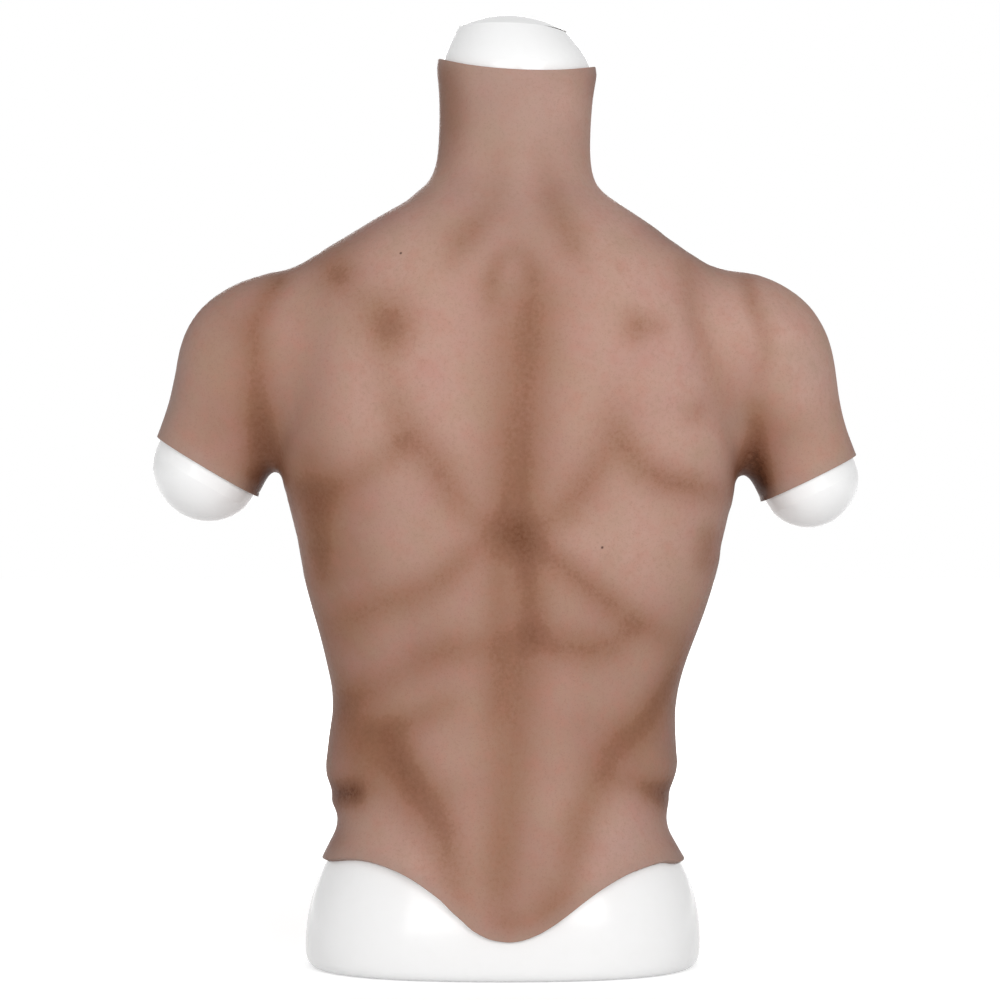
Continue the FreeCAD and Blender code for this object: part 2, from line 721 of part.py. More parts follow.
def screw_solid(clearance):
    """Countersunk wood screw, head down at the origin, or the space that it needs."""
    shank = size("screw_radius") + clearance
    head = size("screw_head_radius") + clearance
    length = size("screw_length") + clearance
    cone = Part.makeCone(head, shank, head - shank, Vector(), UP)
    body = Part.makeCylinder(shank, length - shank, Vector(), UP)
    tip = Part.makeCone(shank, size("screw_tip_radius"), shank, Vector(0, 0, length - shank), UP)
    solid = cone.fuse([body, tip])
    if clearance == 0.0:
        breadth = size("screw_slot_breadth")
        corner = Vector(-head, -breadth / 2.0, 0)
        solid = solid.cut(Part.makeBox(2 * head, breadth, size("screw_slot_depth"), corner))
    return solid


def screw_places():
    """Places of the flange screws, evenly round the socket."""
    places = []
    count = int(size("screw_count"))
    for number in range(count):
        turn = 360.0 * (number + 0.5) / count
        spoke = Rotation(UP, turn).multVec(Vector(size("screw_circle"), 0, 0))
        places.append(Placement(spoke, Rotation(UP, turn)))
    return places


def make_base(room):
    """Board, flange, socket tube, its end cap and the flange screws.

    The flange is as thick as the form's wall, so that the board rests on both.
    """
    spaces = []
    for number, place in enumerate(screw_places()):
        space = screw_solid(size("screw_clearance"))
        space.Placement = place
        spaces.append(space)
    screw_room = feature("screw_room", Part.makeCompound(spaces))
    screw = feature("flange_screw", screw_solid(0.0))
    node("flange_screws", group("flange_screw_set", screw, screw_places()))

    slab = cylinder("base_slab", "thigh_half_breadth + thigh_back", "base_board_thickness",
                    Placement(Vector(0, 0, size("form_wall")), Rotation()))
    board = common("base_board_blank", [slab, room])
    tube_outside = "pole_radius + pole_clearance + tube_wall"
    tube_room = cylinder("tube_room", tube_outside + " + tube_clearance", "tube_length", Placement())
    doc.recompute()
    node("base_board", cut("base_board_cut", board, [tube_room, screw_room]))

    plate = cylinder("flange_blank", "flange_radius", "form_wall", Placement())
    weld_room = cylinder("weld_room", tube_outside, "tube_length", Placement())
    doc.recompute()
    node("base_flange", cut("flange_cut", plate, [weld_room, screw_room]))

    tube = new_body("socket_tube_body")
    sketch = new_sketch(tube, "tube_section")
    add_circle(sketch, "outside", tube_outside)
    add_circle(sketch, "bore", "pole_radius + pole_clearance")
    pad(tube, sketch, "tube_pad", "tube_length")
    node("socket_tube", tube)

    inside = tube_outside + " + end_cap_clearance"
    end_cap = new_body("tube_end_cap_body")
    sketch = new_sketch(end_cap, "end_cap_top_section", offset="tube_length")
    add_circle(sketch, "top", inside + " + end_cap_wall")
    pad(end_cap, sketch, "end_cap_top", "end_cap_top")
    sketch = new_sketch(end_cap, "end_cap_skirt_section", offset="tube_length")
    add_circle(sketch, "outside", inside + " + end_cap_wall")
    add_circle(sketch, "inside", inside)
    pad(end_cap, sketch, "end_cap_skirt", "end_cap_skirt", downward=True)
    node("tube_end_cap", end_cap)


# ---------------------------------------------------------------- caps and their fittings

def make_peg_template():
    """Peg along Z: its grip in the cap above the origin, its reach below."""
    body = new_body("peg_template")
    sketch = new_sketch(body, "peg_section", offset="peg_grip")
    add_circle(sketch, "peg", "peg_radius")
    shaft = pad(body, sketch, "peg_shaft", "peg_reach + peg_grip", downward=True)
    doc.recompute()
    low = min(range(len(shaft.Shape.Edges)), key=lambda index: shaft.Shape.Edges[index].CenterOfMass.z)
    chamfer = body.newObject("PartDesign::Chamfer", "peg_lead_in")
    chamfer.Base = (shaft, ["Edge%d" % (low + 1)])
    chamfer.setExpression("Size", cell("peg_chamfer"))
    doc.recompute()
    return body


def make_bush_template():
    """Flanged bush along Z: flange face at the origin, barrel below."""
    body = new_body("bush_template")
    sketch = new_sketch(body, "bush_flange_section")
    add_circle(sketch, "flange", "bush_flange_radius")
    pad(body, sketch, "bush_flange", "bush_flange_thickness", downward=True)
    sketch = new_sketch(body, "bush_barrel_section")
    add_circle(sketch, "barrel", "bush_radius")
    length = "bush_flange_thickness + fitting_board_thickness + bush_tail"
    pad(body, sketch, "bush_barrel", length, downward=True)
    sketch = new_sketch(body, "bush_bore_section")
    add_circle(sketch, "bore", "peg_radius + peg_clearance")
    doc.recompute()
    before = body.Shape.Volume
    pocket(body, sketch, "bush_bore", length)
    doc.recompute()
    if body.Shape.Volume > before - 1.0:
        raise ValueError("the bush has no bore")
    return body


def dome(name, dome_sizes, inset, overcut):
    """Upper part of an ellipsoid over a cap's rim plane: the cap's outside, or its hollow."""
    half_breadth, half_depth, sink, rise = dome_sizes
    item = doc.addObject("Part::Ellipsoid", name)
    item.Radius1 = sink + rise - inset
    item.Radius2 = half_breadth - inset
    item.Radius3 = half_depth - inset
    item.Angle1 = math.degrees(math.asin((sink - overcut) / (sink + rise - inset)))
    item.Angle2 = 90.0
    item.Placement = Placement(Vector(0, 0, -sink), Rotation())
    return item


def make_cap(name, dome_sizes, pitch, rise_name):
    """Hollow domed cap with two bosses for its pegs, in the rim's own frame."""
    outside = dome(name + "_outside", dome_sizes, 0.0, 0.0)
    hollow = dome(name + "_hollow", dome_sizes, size("cap_wall"), size("cap_overcut"))
    columns = []
    holes = []
    for number, across in enumerate((-pitch / 2.0, pitch / 2.0)):
        place = Placement(Vector(0, across, 0), Rotation())
        label = "%s_%d" % (name, number)
        columns.append(cylinder(label + "_column", "cap_boss_radius", rise_name, place))
        holes.append(cylinder(label + "_hole", "peg_radius + peg_bond_gap", "peg_grip", place))
    doc.recompute()
    shell = cut(name + "_shell", outside, [hollow])
    bosses = common(name + "_bosses", [outside, fused(name + "_columns", columns)])
    doc.recompute()
    return cut(name + "_solid", fused(name + "_blank", [shell, bosses]), holes)


def make_fitting(suffix, place, room, sizes, templates, slab_reach):
    """Cap with its pegs, and the board with its bushes behind the rim, at one place."""
    dome_sizes, pitch, rise_name = sizes
    peg, bush = templates
    cap = make_cap("cap_" + suffix, dome_sizes, pitch, rise_name)
    cap.Placement = place
    pegs = [moved_along(place, 0.0, across) for across in (-pitch / 2.0, pitch / 2.0)]
    recess = size("bush_recess")
    bushes = [moved_along(item, -recess) for item in pegs]
    depth = recess + size("bush_flange_thickness") + size("fitting_board_thickness")
    slab = cylinder("slab_" + suffix, slab_reach, "fitting_board_thickness", moved_along(place, -depth))
    board = common("board_blank_" + suffix, [slab, room])
    holes = []
    for number, item in enumerate(bushes):
        below = moved_along(item, -depth - size("bush_tail"))
        holes.append(cylinder("bush_hole_%s_%d" % (suffix, number), "bush_radius + bush_clearance",
                              "fitting_board_thickness * 3 + bush_tail", below))
    doc.recompute()
    drilled = cut("board_" + suffix, board, holes)
    return cap, group("pegs_" + suffix, peg, pegs), drilled, group("bushes_" + suffix, bush, bushes)


def make_fittings(room):
    templates = (make_peg_template(), make_bush_template())
    sink = size("neck_cap_sink")
    rise = size("neck_cap_rise")
    share = dome_share(sink, rise)
    half_breadth = size("neck_rim_half_breadth") / share
    half_depth = (size("neck_rim_back") - size("neck_rim_front")) / 2.0 / share
    dome_sizes = (half_breadth, half_depth, sink, rise)
    neck_sizes = (dome_sizes, size("neck_peg_pitch"), "neck_cap_rise")
    parts = make_fitting("neck", neck_place(), room, neck_sizes, templates,
                         "upper_neck_half_breadth + cutting_margin")
    for name, item in zip(("neck_cap", "neck_cap_pegs", "neck_board", "neck_bushes"), parts):
        node(name, item)
    for side_name, side in SIDES:
        half_height, half_depth = arm_frame(side_name + "_sleeve", side)[3:]
        stub = size("stub_length")
        place = sleeve_place(side_name, side, stub)
        rise_name = side_name + "_arm_cap_rise"
        dome_sizes = (half_height, half_depth, stub, size(rise_name))
        arm_sizes = (dome_sizes, size("arm_peg_pitch"), rise_name)
        parts = make_fitting(side_name, place, room, arm_sizes, templates,
                             "arm_%s_sleeve_half_depth + cutting_margin" % side_name)
        names = ("arm_cap_", "arm_cap_pegs_", "arm_board_", "arm_bushes_")
        for name, item in zip(names, parts):
            node(name + side_name, item)


# ---------------------------------------------------------------- build, check, write

def check():
    """Stop if any object failed or any sub-part has a bad shape."""
    for item in doc.Objects:
        if "Invalid" in item.State or "Error" in item.State:
            raise ValueError("%s failed: %s" % (item.Label, item.State))
    for name, item in NODES.items():
        if item.Shape.isNull() or not item.Shape.isValid() or not item.Shape.Solids:
            raise ValueError(name + " has no valid solid")


def write():
    os.makedirs("parts", exist_ok=True)
    for name, item in NODES.items():
        item.Shape.exportStep("parts/%s.step" % name)
        bounds = item.Shape.BoundBox
        print("%-20s %d solid(s) %12.1f mm3" % (name, len(item.Shape.Solids), item.Shape.Volume),
              "x %.1f %.1f y %.1f %.1f z %.1f %.1f"
              % (bounds.XMin, bounds.XMax, bounds.YMin, bounds.YMax, bounds.ZMin, bounds.ZMax))


make_form()
make_skin()
inner_room = lining()
doc.recompute()
make_straps()
make_base(inner_room)
make_fittings(inner_room)
doc.recompute()
check()
write()
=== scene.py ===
"""The looks of a body opponent mannequin: a moulded silicone muscle skin, with its muscles
tinted by airbrush, pulled over a glossy white torso form with three push-on end caps."""

import json
import math

import bmesh
import bpy
import numpy as np
from bpy.props import FloatProperty, FloatVectorProperty, PointerProperty
from mathutils import Euler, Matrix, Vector
from mathutils.bvhtree import BVHTree
from mathutils.kdtree import KDTree


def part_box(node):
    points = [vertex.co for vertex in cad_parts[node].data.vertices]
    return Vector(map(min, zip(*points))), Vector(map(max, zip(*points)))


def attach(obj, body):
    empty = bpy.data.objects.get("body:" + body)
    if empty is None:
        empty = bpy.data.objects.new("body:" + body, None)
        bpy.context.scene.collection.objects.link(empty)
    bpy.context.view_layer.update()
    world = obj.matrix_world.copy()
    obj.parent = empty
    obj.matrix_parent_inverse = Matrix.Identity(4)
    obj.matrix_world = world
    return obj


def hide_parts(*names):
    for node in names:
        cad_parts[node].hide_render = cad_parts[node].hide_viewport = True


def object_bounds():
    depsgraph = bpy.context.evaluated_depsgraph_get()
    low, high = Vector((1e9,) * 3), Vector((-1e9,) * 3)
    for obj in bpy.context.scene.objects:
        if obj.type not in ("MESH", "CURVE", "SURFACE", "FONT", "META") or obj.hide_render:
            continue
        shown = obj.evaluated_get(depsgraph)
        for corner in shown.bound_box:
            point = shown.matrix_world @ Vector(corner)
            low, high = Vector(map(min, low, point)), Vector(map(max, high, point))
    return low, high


bl_info = {
    "name": "Body opponent mannequin",
    "version": (1, 0, 0),
    "blender": (4, 5, 0),
    "location": "3D View > Sidebar > Mannequin",
    "description": "Dresses the torso form of a body opponent mannequin in its muscle skin",
    "category": "Object",
}

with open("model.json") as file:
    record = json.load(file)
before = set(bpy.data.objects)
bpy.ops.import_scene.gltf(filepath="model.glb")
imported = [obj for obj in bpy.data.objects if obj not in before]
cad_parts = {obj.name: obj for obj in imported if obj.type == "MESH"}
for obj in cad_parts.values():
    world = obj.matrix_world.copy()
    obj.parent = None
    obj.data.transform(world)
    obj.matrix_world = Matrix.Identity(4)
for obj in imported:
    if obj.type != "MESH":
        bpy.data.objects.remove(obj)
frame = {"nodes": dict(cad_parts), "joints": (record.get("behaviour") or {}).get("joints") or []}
CAD_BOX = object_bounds()
MM = 0.001
CORE_NODES = ("form_back_shell", "form_front_shell")
BACK, FRONT = 1.0, -1.0
# Vertices that lie this near each other are one.
MERGE_REACH = 0.02 * MM
# The skin's inner face lies within this reach of the form, and its outer face doesn't.
INNER_REACH = 1.2 * MM
# The room left between the moulded skin and the form.
SKIN_CLEARANCE = 0.4 * MM
# The turn, in radians, past which an edge is a crease between arm and torso.
CREASE_TURN = 0.3
# Rounding of the creases round the arms: reach in millimetres, and rounds.
CREASE_SMOOTHING = ((34, 10), (26, 16), (18, 24), (11, 20))
# The turn, in radians, past which a face belongs to a rim and not to the outside.
RIM_TURN = 0.8
# Rounds that space the rims' vertices evenly along the rims, and how far apart the rims' points lie.
RIM_ROUNDS = 24
RIM_STEP = 0.5 * MM
# How far in from a rim the silicone is paler.
RIM_FADE = 14 * MM
# Depth and half width of the navel, and how deep the thickest mist's furrows are, in millimetres.
NAVEL_DEPTH, NAVEL_WIDTH = 5, 7
FURROW_DEPTH = 1.8
# The camera's place beside and above the origin, and what the lamps aim at.
EYE_ASIDE, EYE_LEVEL = 4.1 * MM, 381.7 * MM
LAMP_AIM = (0, 0, 0.42)
LAMP_SIZE = (1.5, 1.5)
# The soft boxes: name, place and watts.
LAMPS = (
    ("soft_box_right", (-1.2, 2.8, 1.1), 34),
    ("soft_box_left", (1.0, 2.8, 0.8), 25),
    ("soft_box_front", (0.2, -3.0, 0.9), 40),
)
# Half the side of the floor, and how far it lies under the part.
FLOOR_REACH, FLOOR_DROP = 12, 0.2 * MM


def linear(hex_colour):
    """An sRGB hex colour as linear red, green and blue."""
    parts = [int(hex_colour[place : place + 2], 16) / 255 for place in (1, 3, 5)]
    return [p / 12.92 if p <= 0.04045 else ((p + 0.055) / 1.055) ** 2.4 for p in parts]


# ---------------------------------------------------------------- what the user can set


def colour_setting(name, description, shade):
    """A colour that the user can set."""
    return FloatVectorProperty(
        name=name, description=description, default=linear(shade), size=3, subtype="COLOR"
    )


class SkinSettings(bpy.types.PropertyGroup):
    """The muscle skin."""

    grid: FloatProperty(
        name="Grid",
        description="Spacing of the skin's mesh",
        default=3.8 * MM,
        min=2 * MM,
        unit="LENGTH",
    )
    lip: FloatProperty(
        name="Lip radius",
        description="Rounding of the skin's four rims",
        default=1.3 * MM,
        unit="LENGTH",
    )
    spread: FloatProperty(
        name="Airbrush spread",
        description="Breadth of the brown mist, as a share of the breadths in the stroke table",
        default=1.32,
        min=0.5,
        max=2,
        subtype="FACTOR",
    )
    relief: FloatProperty(
        name="Relief",
        description="How strongly the muscles' furrows and swells stand out",
        default=1.0,
        min=0,
        max=2,
        subtype="FACTOR",
    )
    flesh: colour_setting("Flesh", "Colour of the pigmented silicone", "#b38f80")
    # the tan is partly the silicone's darker tone, partly painted shade on the left (+x) side
    tan: colour_setting("Tan", "Colour of the lower back, the arms and the flanks", "#8f6855")
    flush: colour_setting("Flush", "Pink misted over the shoulder blades and the shoulders", "#c19c8f")
    ochre: colour_setting("Ochre", "Brown airbrushed into the furrows, where it is thin", "#8a5c40")
    # this brown also colours the painted shade in the armpits and the folds over the hips
    umber_and_shade: colour_setting("Umber", "Brown airbrushed into the furrows, where it lies thickest", "#663b24")


class FormSettings(bpy.types.PropertyGroup):
    """The white form and its caps."""

    gelcoat: colour_setting("Gelcoat", "Colour of the form and its caps", "#f4f4f4")
    polish: FloatProperty(
        name="Roughness",
        description="Roughness of the white gelcoat",
        default=0.16,
        min=0,
        max=1,
        subtype="FACTOR",
    )


class StageSettings(bpy.types.PropertyGroup):
    """The camera and the light."""

    distance: FloatProperty(
        name="Camera distance",
        description="From the middle of the torso to the camera",
        default=2.5,
        unit="LENGTH",
        subtype="DISTANCE",
    )
    lens: FloatProperty(
        name="Lens",
        description="Focal length on a 36 mm sensor, in millimetres",
        default=108.76,
        unit="CAMERA",
    )
    ambient: FloatProperty(
        name="Ambient light",
        description="Light that comes evenly from the white studio",
        default=0.47,
        min=0,
        max=1,
        subtype="FACTOR",
    )
    light: FloatProperty(
        name="Light",
        description="Level of the soft boxes",
        default=1.0,
        min=0,
        max=4,
        subtype="FACTOR",
    )


# ---------------------------------------------------------------- materials


def add_node(tree, kind, settings=None, **links):
    """Adds a shader node.

    Settings are attributes or input values. Links name the node or socket that feeds an input.
    """
    node = tree.nodes.new(kind)
    for name, value in (settings or {}).items():
        if name in node.inputs.keys():
            node.inputs[name].default_value = value
        else:
            setattr(node, name, value)
    for name, source in links.items():
        place = int(name[1:]) if name[1:].isdigit() else name.replace("_", " ")
        feed = source if isinstance(source, bpy.types.NodeSocket) else source.outputs[0]
        tree.links.new(feed, node.inputs[place])
    return node


def new_material(name):
    """An empty node material and its output."""
    material = bpy.data.materials.new(name)
    material.use_nodes = True
    tree = material.node_tree
    tree.nodes.clear()
    return material, tree, add_node(tree, "ShaderNodeOutputMaterial")


def rgba(colour):
    """A colour with full alpha."""
    return (*colour, 1.0)


def ramp(tree, source, low, high, *, start=0.0, end=1.0):
    """Maps a value between start and end onto low to high, held at both ends."""
    return add_node(
        tree,
        "ShaderNodeMapRange",
        {"From Min": start, "From Max": end, "To Min": low, "To Max": high},
        Value=source,
    )


def mixed(tree, factor, first, second, blend="MIX"):
    """Mixes two colours, each a socket or a colour."""
    node = add_node(tree, "ShaderNodeMix", {"data_type": "RGBA", "blend_type": blend})
    for place, value in ((0, factor), (6, first), (7, second)):
        if isinstance(value, (bpy.types.Node, bpy.types.NodeSocket)):
            source = value.outputs[0] if isinstance(value, bpy.types.Node) else value
            tree.links.new(source, node.inputs[place])
        elif place:
            node.inputs[place].default_value = rgba(value)
        else:
            node.inputs[place].default_value = value
    return node.outputs[2]


def seen_straight(tree):
    """1 where the camera sees a surface straight, mirrored or through a clear piece, otherwise 0."""
    path = add_node(tree, "ShaderNodeLightPath").outputs
    either = {"operation": "MAXIMUM"}
    seen = add_node(tree, "ShaderNodeMath", either, _0=path["Is Camera Ray"], _1=path["Is Glossy Ray"])
    return add_node(tree, "ShaderNodeMath", either, _0=seen, _1=path["Is Transmission Ray"]).outputs[0]


def moulded_silicone(skin, moles):
    """Pigmented silicone cast in a textured mould and airbrushed: satin, faintly translucent, with pores. Its
    colour also holds painted shade and a painted sheen.
    """
    material, tree, output = new_material("moulded_silicone")
    place = add_node(tree, "ShaderNodeTexCoord").outputs["Object"]
    umber_and_shade, tan, flush, side, bare_and_sheen = (
        add_node(tree, "ShaderNodeAttribute", {"attribute_name": name}).outputs["Fac"]
        for name in ("umber_and_shade", "tan", "flush", "side", "bare_and_sheen")
    )
    # clouds of pink and olive 40 mm across, blotches of blood colour 16 mm across,
    # freckling of 3.5 mm, pores 2 mm apart and a grain of 1.1 mm
    cloud, blotch, freckle, grain = (
        add_node(
            tree,
            "ShaderNodeTexNoise",
            {"Scale": 1 / (size * MM), "Detail": detail, "Roughness": roughness},
            Vector=place,
        ).outputs[0]
        for size, detail, roughness in ((40, 2, 0.5), (16, 3, 0.6), (3.5, 4, 0.7), (1.1, 2, 0.5))
    )
    pore = add_node(tree, "ShaderNodeTexVoronoi", {"Scale": 1 / (2.0 * MM)}, Vector=place).outputs["Distance"]
    speckle = ramp(tree, freckle, 0.9, 1.1, start=0.35, end=0.65)
    # the airbrush's brown, and painted shade where it is strongest, in the armpits and the folds over the
    # hips
    mist_and_shade = add_node(tree, "ShaderNodeMath", {"operation": "MULTIPLY"}, _0=umber_and_shade, _1=speckle).outputs[0]

    # tan: partly the silicone's darker tone, partly painted shade on the left (+x) side
    colour = mixed(tree, tan, skin.flesh, skin.tan)
    colour = mixed(tree, flush, colour, skin.flush)
    # each tint: the pattern that drives it, the pattern's range, the tint's share there, and its colour
    tints = (
        (cloud, 0.50, 0.72, 0.0, 0.30, linear("#b4857f")),
        (cloud, 0.28, 0.48, 0.26, 0.0, linear("#a58a70")),
        (blotch, 0.48, 0.72, 0.0, 0.30, linear("#b57a6c")),
        (blotch, 0.30, 0.46, 0.25, 0.0, linear("#a98d79")),
        (freckle, 0.50, 0.78, 0.0, 0.34, linear("#94705e")),
        # the mist is ochre where it is thin and deep brown where it is thick; past 0.9 it turns near black,
        # which is painted shade in the armpits and the folds over the hips
        (mist_and_shade, 0.0, 0.5, 0.0, 0.62, skin.ochre),
        (mist_and_shade, 0.4, 1.0, 0.0, 0.85, skin.umber_and_shade),
        (mist_and_shade, 0.9, 1.2, 0.0, 0.75, linear("#2c1911")),
        # painted shade darkens the sides, the rims are paler, and the pores catch the dye
        (side, 0.0, 1.0, 0.0, 0.84, linear("#603723")),
        # paler rims, and a painted sheen greying the outer edge of the left (+x) arm
        (bare_and_sheen, 0.1, 1.0, 0.0, 0.40, linear("#9f8c83")),
        (pore, 0.05, 0.35, 0.18, 0.0, linear("#6f4c3c")),
    )
    for pattern, start, end, low, high, tint in tints:
        colour = mixed(tree, ramp(tree, pattern, low, high, start=start, end=end), colour, tint)
    for mole in moles:
        apart = add_node(tree, "ShaderNodeVectorMath", {"operation": "DISTANCE"}, _0=place)
        apart.inputs[1].default_value = mole
        spot = ramp(tree, apart.outputs["Value"], 0.85, 0.0, start=0.6 * MM, end=1.5 * MM)
        colour = mixed(tree, spot, colour, linear("#4a302a"))

    pit = ramp(tree, pore, 0.0, 0.6, start=0.0, end=0.45)
    height = add_node(tree, "ShaderNodeMath", {"operation": "ADD"}, _0=pit, _1=grain)
    bump = add_node(tree, "ShaderNodeBump", {"Strength": 0.25, "Distance": 0.25 * MM}, Height=height)
    rough = ramp(tree, freckle, 0.44, 0.58, start=0.3, end=0.7)
    shader = add_node(
        tree,
        "ShaderNodeBsdfPrincipled",
        {
            "IOR": 1.41,
            "Specular IOR Level": 0.12,
            "Subsurface Weight": 0.12,
            "Subsurface Radius": (1.0, 0.45, 0.3),
            "Subsurface Scale": 3 * MM,
        },
        Base_Color=colour,
        Roughness=rough,
        Normal=bump,
    )
    tree.links.new(shader.outputs[0], output.inputs[0])
    return material


def white_gelcoat(form):
    """White gelcoat sprayed in a polished mould over glass fibre: glossy, with a long faint waviness."""
    material, tree, output = new_material("white_gelcoat")
    place = add_node(tree, "ShaderNodeTexCoord").outputs["Object"]
    wave = add_node(tree, "ShaderNodeTexNoise", {"Scale": 1 / (60 * MM), "Detail": 1.0}, Vector=place)
    dust = add_node(tree, "ShaderNodeTexNoise", {"Scale": 1 / (9 * MM), "Detail": 4.0}, Vector=place)
    bump = add_node(tree, "ShaderNodeBump", {"Strength": 0.3, "Distance": 1.0 * MM}, Height=wave.outputs[0])
    share = ramp(tree, dust.outputs[0], 0.0, 0.12, start=0.5, end=0.85)
    colour = mixed(tree, share, form.gelcoat, linear("#e8e7e4"))
    rough = ramp(tree, dust.outputs[0], form.polish, form.polish + 0.08, start=0.3, end=0.7)
    shader = add_node(
        tree,
        "ShaderNodeBsdfPrincipled",
        {"IOR": 1.5},
        Base_Color=colour,
        Roughness=rough,
        Normal=bump,
    )
    tree.links.new(shader.outputs[0], output.inputs[0])
    return material


def zinc_plate(name, shade, grain_mm):
    """Mild steel with bright zinc plate: grey metal with soft patches where the plate is thicker."""
    material, tree, output = new_material(name)
    place = add_node(tree, "ShaderNodeTexCoord").outputs["Object"]
    patch = add_node(tree, "ShaderNodeTexNoise", {"Scale": 1 / (grain_mm * MM), "Detail": 5.0}, Vector=place)
    share = ramp(tree, patch.outputs[0], 0.0, 1.0, start=0.35, end=0.7)
    colour = mixed(tree, share, shade, linear("#8f9092"))
    rough = ramp(tree, patch.outputs[0], 0.28, 0.48, start=0.3, end=0.7)
    bump = add_node(tree, "ShaderNodeBump", {"Strength": 0.15, "Distance": 0.1 * MM}, Height=patch.outputs[0])
    shader = add_node(
        tree, "ShaderNodeBsdfPrincipled", {"Metallic": 1.0}, Base_Color=colour, Roughness=rough, Normal=bump
    )
    tree.links.new(shader.outputs[0], output.inputs[0])
    return material


def sawn_fibreboard():
    """Medium density fibreboard, sawn: matte brown felted fibres."""
    material, tree, output = new_material("sawn_fibreboard")
    place = add_node(tree, "ShaderNodeTexCoord").outputs["Object"]
    felt = {"Scale": 1 / (2.5 * MM), "Detail": 6.0, "Roughness": 0.7}
    fibre = add_node(tree, "ShaderNodeTexNoise", felt, Vector=place)
    share = ramp(tree, fibre.outputs[0], 0.0, 1.0, start=0.3, end=0.7)
    colour = mixed(tree, share, linear("#b08d64"), linear("#8d6c48"))
    bump = add_node(tree, "ShaderNodeBump", {"Strength": 0.4, "Distance": 0.3 * MM}, Height=fibre.outputs[0])
    shader = add_node(tree, "ShaderNodeBsdfPrincipled", {"Roughness": 0.85}, Base_Color=colour, Normal=bump)
    tree.links.new(shader.outputs[0], output.inputs[0])
    return material


def glass_laminate():
    """Raw glass fibre laminate: milky resin over crossed strands 3 mm apart."""
    material, tree, output = new_material("glass_laminate")
    place = add_node(tree, "ShaderNodeTexCoord").outputs["Object"]
    mat = {"Scale": 1 / (3 * MM), "Detail": 3.0, "Distortion": 1.5}
    strand = add_node(tree, "ShaderNodeTexNoise", mat, Vector=place)
    share = ramp(tree, strand.outputs[0], 0.0, 1.0, start=0.35, end=0.65)
    colour = mixed(tree, share, linear("#d6d3bf"), linear("#b9b79f"))
    bump = add_node(tree, "ShaderNodeBump", {"Strength": 0.5, "Distance": 0.4 * MM}, Height=strand.outputs[0])
    shader = add_node(
        tree, "ShaderNodeBsdfPrincipled", {"Roughness": 0.45, "IOR": 1.52}, Base_Color=colour, Normal=bump
    )
    tree.links.new(shader.outputs[0], output.inputs[0])
    return material


def moulded_nylon():
    """Black injection moulded nylon: dull, with a fine spark texture."""
    material, tree, output = new_material("moulded_nylon")
    place = add_node(tree, "ShaderNodeTexCoord").outputs["Object"]
    spark = add_node(tree, "ShaderNodeTexNoise", {"Scale": 1 / (0.8 * MM), "Detail": 2.0}, Vector=place)
    share = ramp(tree, spark.outputs[0], 0.0, 1.0, start=0.35, end=0.65)
    colour = mixed(tree, share, linear("#191919"), linear("#262626"))
    bump = add_node(tree, "ShaderNodeBump", {"Strength": 0.3, "Distance": 0.1 * MM}, Height=spark.outputs[0])
    shader = add_node(
        tree, "ShaderNodeBsdfPrincipled", {"Roughness": 0.5, "IOR": 1.53}, Base_Color=colour, Normal=bump
    )
    tree.links.new(shader.outputs[0], output.inputs[0])
    return material


# ---------------------------------------------------------------- the muscle skin's mesh


def merged_copy(*nodes):
    """The meshes of CAD nodes as one bmesh, with its loose triangles joined up."""
    shape = bmesh.new()
    for node in nodes:
        shape.from_mesh(frame["nodes"][node].data)
    bmesh.ops.remove_doubles(shape, verts=shape.verts, dist=MERGE_REACH)
    return shape


def outer_sheet(node, core):
    """The outer face of a hollow solid: neither the faces that touch the core nor the rims' edges."""
    shape = merged_copy(node)
    near = {v for v in shape.verts if core.find_nearest(v.co, INNER_REACH)[0] is not None}
    inner = [f for f in shape.faces if any(v in near for v in f.verts)]
    bmesh.ops.delete(shape, geom=inner, context="FACES")
    shape.normal_update()
    # the outside spreads from its largest face and stops at the rims' sharp edges
    front = [max(shape.faces, key=lambda face: face.calc_area())]
    reached = set(front)
    while front:
        for edge in front.pop().edges:
            if edge.calc_face_angle(0) < RIM_TURN:
                fresh = [face for face in edge.link_faces if face not in reached]
                reached.update(fresh)
                front += fresh
    bmesh.ops.delete(shape, geom=[f for f in shape.faces if f not in reached], context="FACES")
    return shape


def rims(shape):
    """The open edges of a sheet, one list for each rim."""
    waiting = {e for e in shape.edges if e.is_boundary}
    found = []
    while waiting:
        ring, front = [], [waiting.pop()]
        while front:
            edge = front.pop()
            ring.append(edge)
            for vert in edge.verts:
                for other in vert.link_edges:
                    if other in waiting:
                        waiting.remove(other)
                        front.append(other)
        found.append(ring)
    return sorted(found, key=len, reverse=True)


def rim_middle(ring):
    """The middle of a rim."""
    points = [v.co for e in ring for v in e.verts]
    return sum(points, Vector()) / len(points)


def rim_ways():
    """Which way each opening faces: the caps' own axes, and down for the hem."""
    ways = {j["child"]: Vector(j["axis"]).normalized() for j in frame["joints"]}
    places = []
    for body, cap in (
        ("neck_cap_body", "neck_cap"),
        ("left_arm_cap_body", "arm_cap_left"),
        ("right_arm_cap_body", "arm_cap_right"),
    ):
        low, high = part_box(cap)
        places.append(((low + high) / 2, ways[body]))
    low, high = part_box("base_board")
    places.append(((low + high) / 2, Vector((0, 0, -1))))
    return places


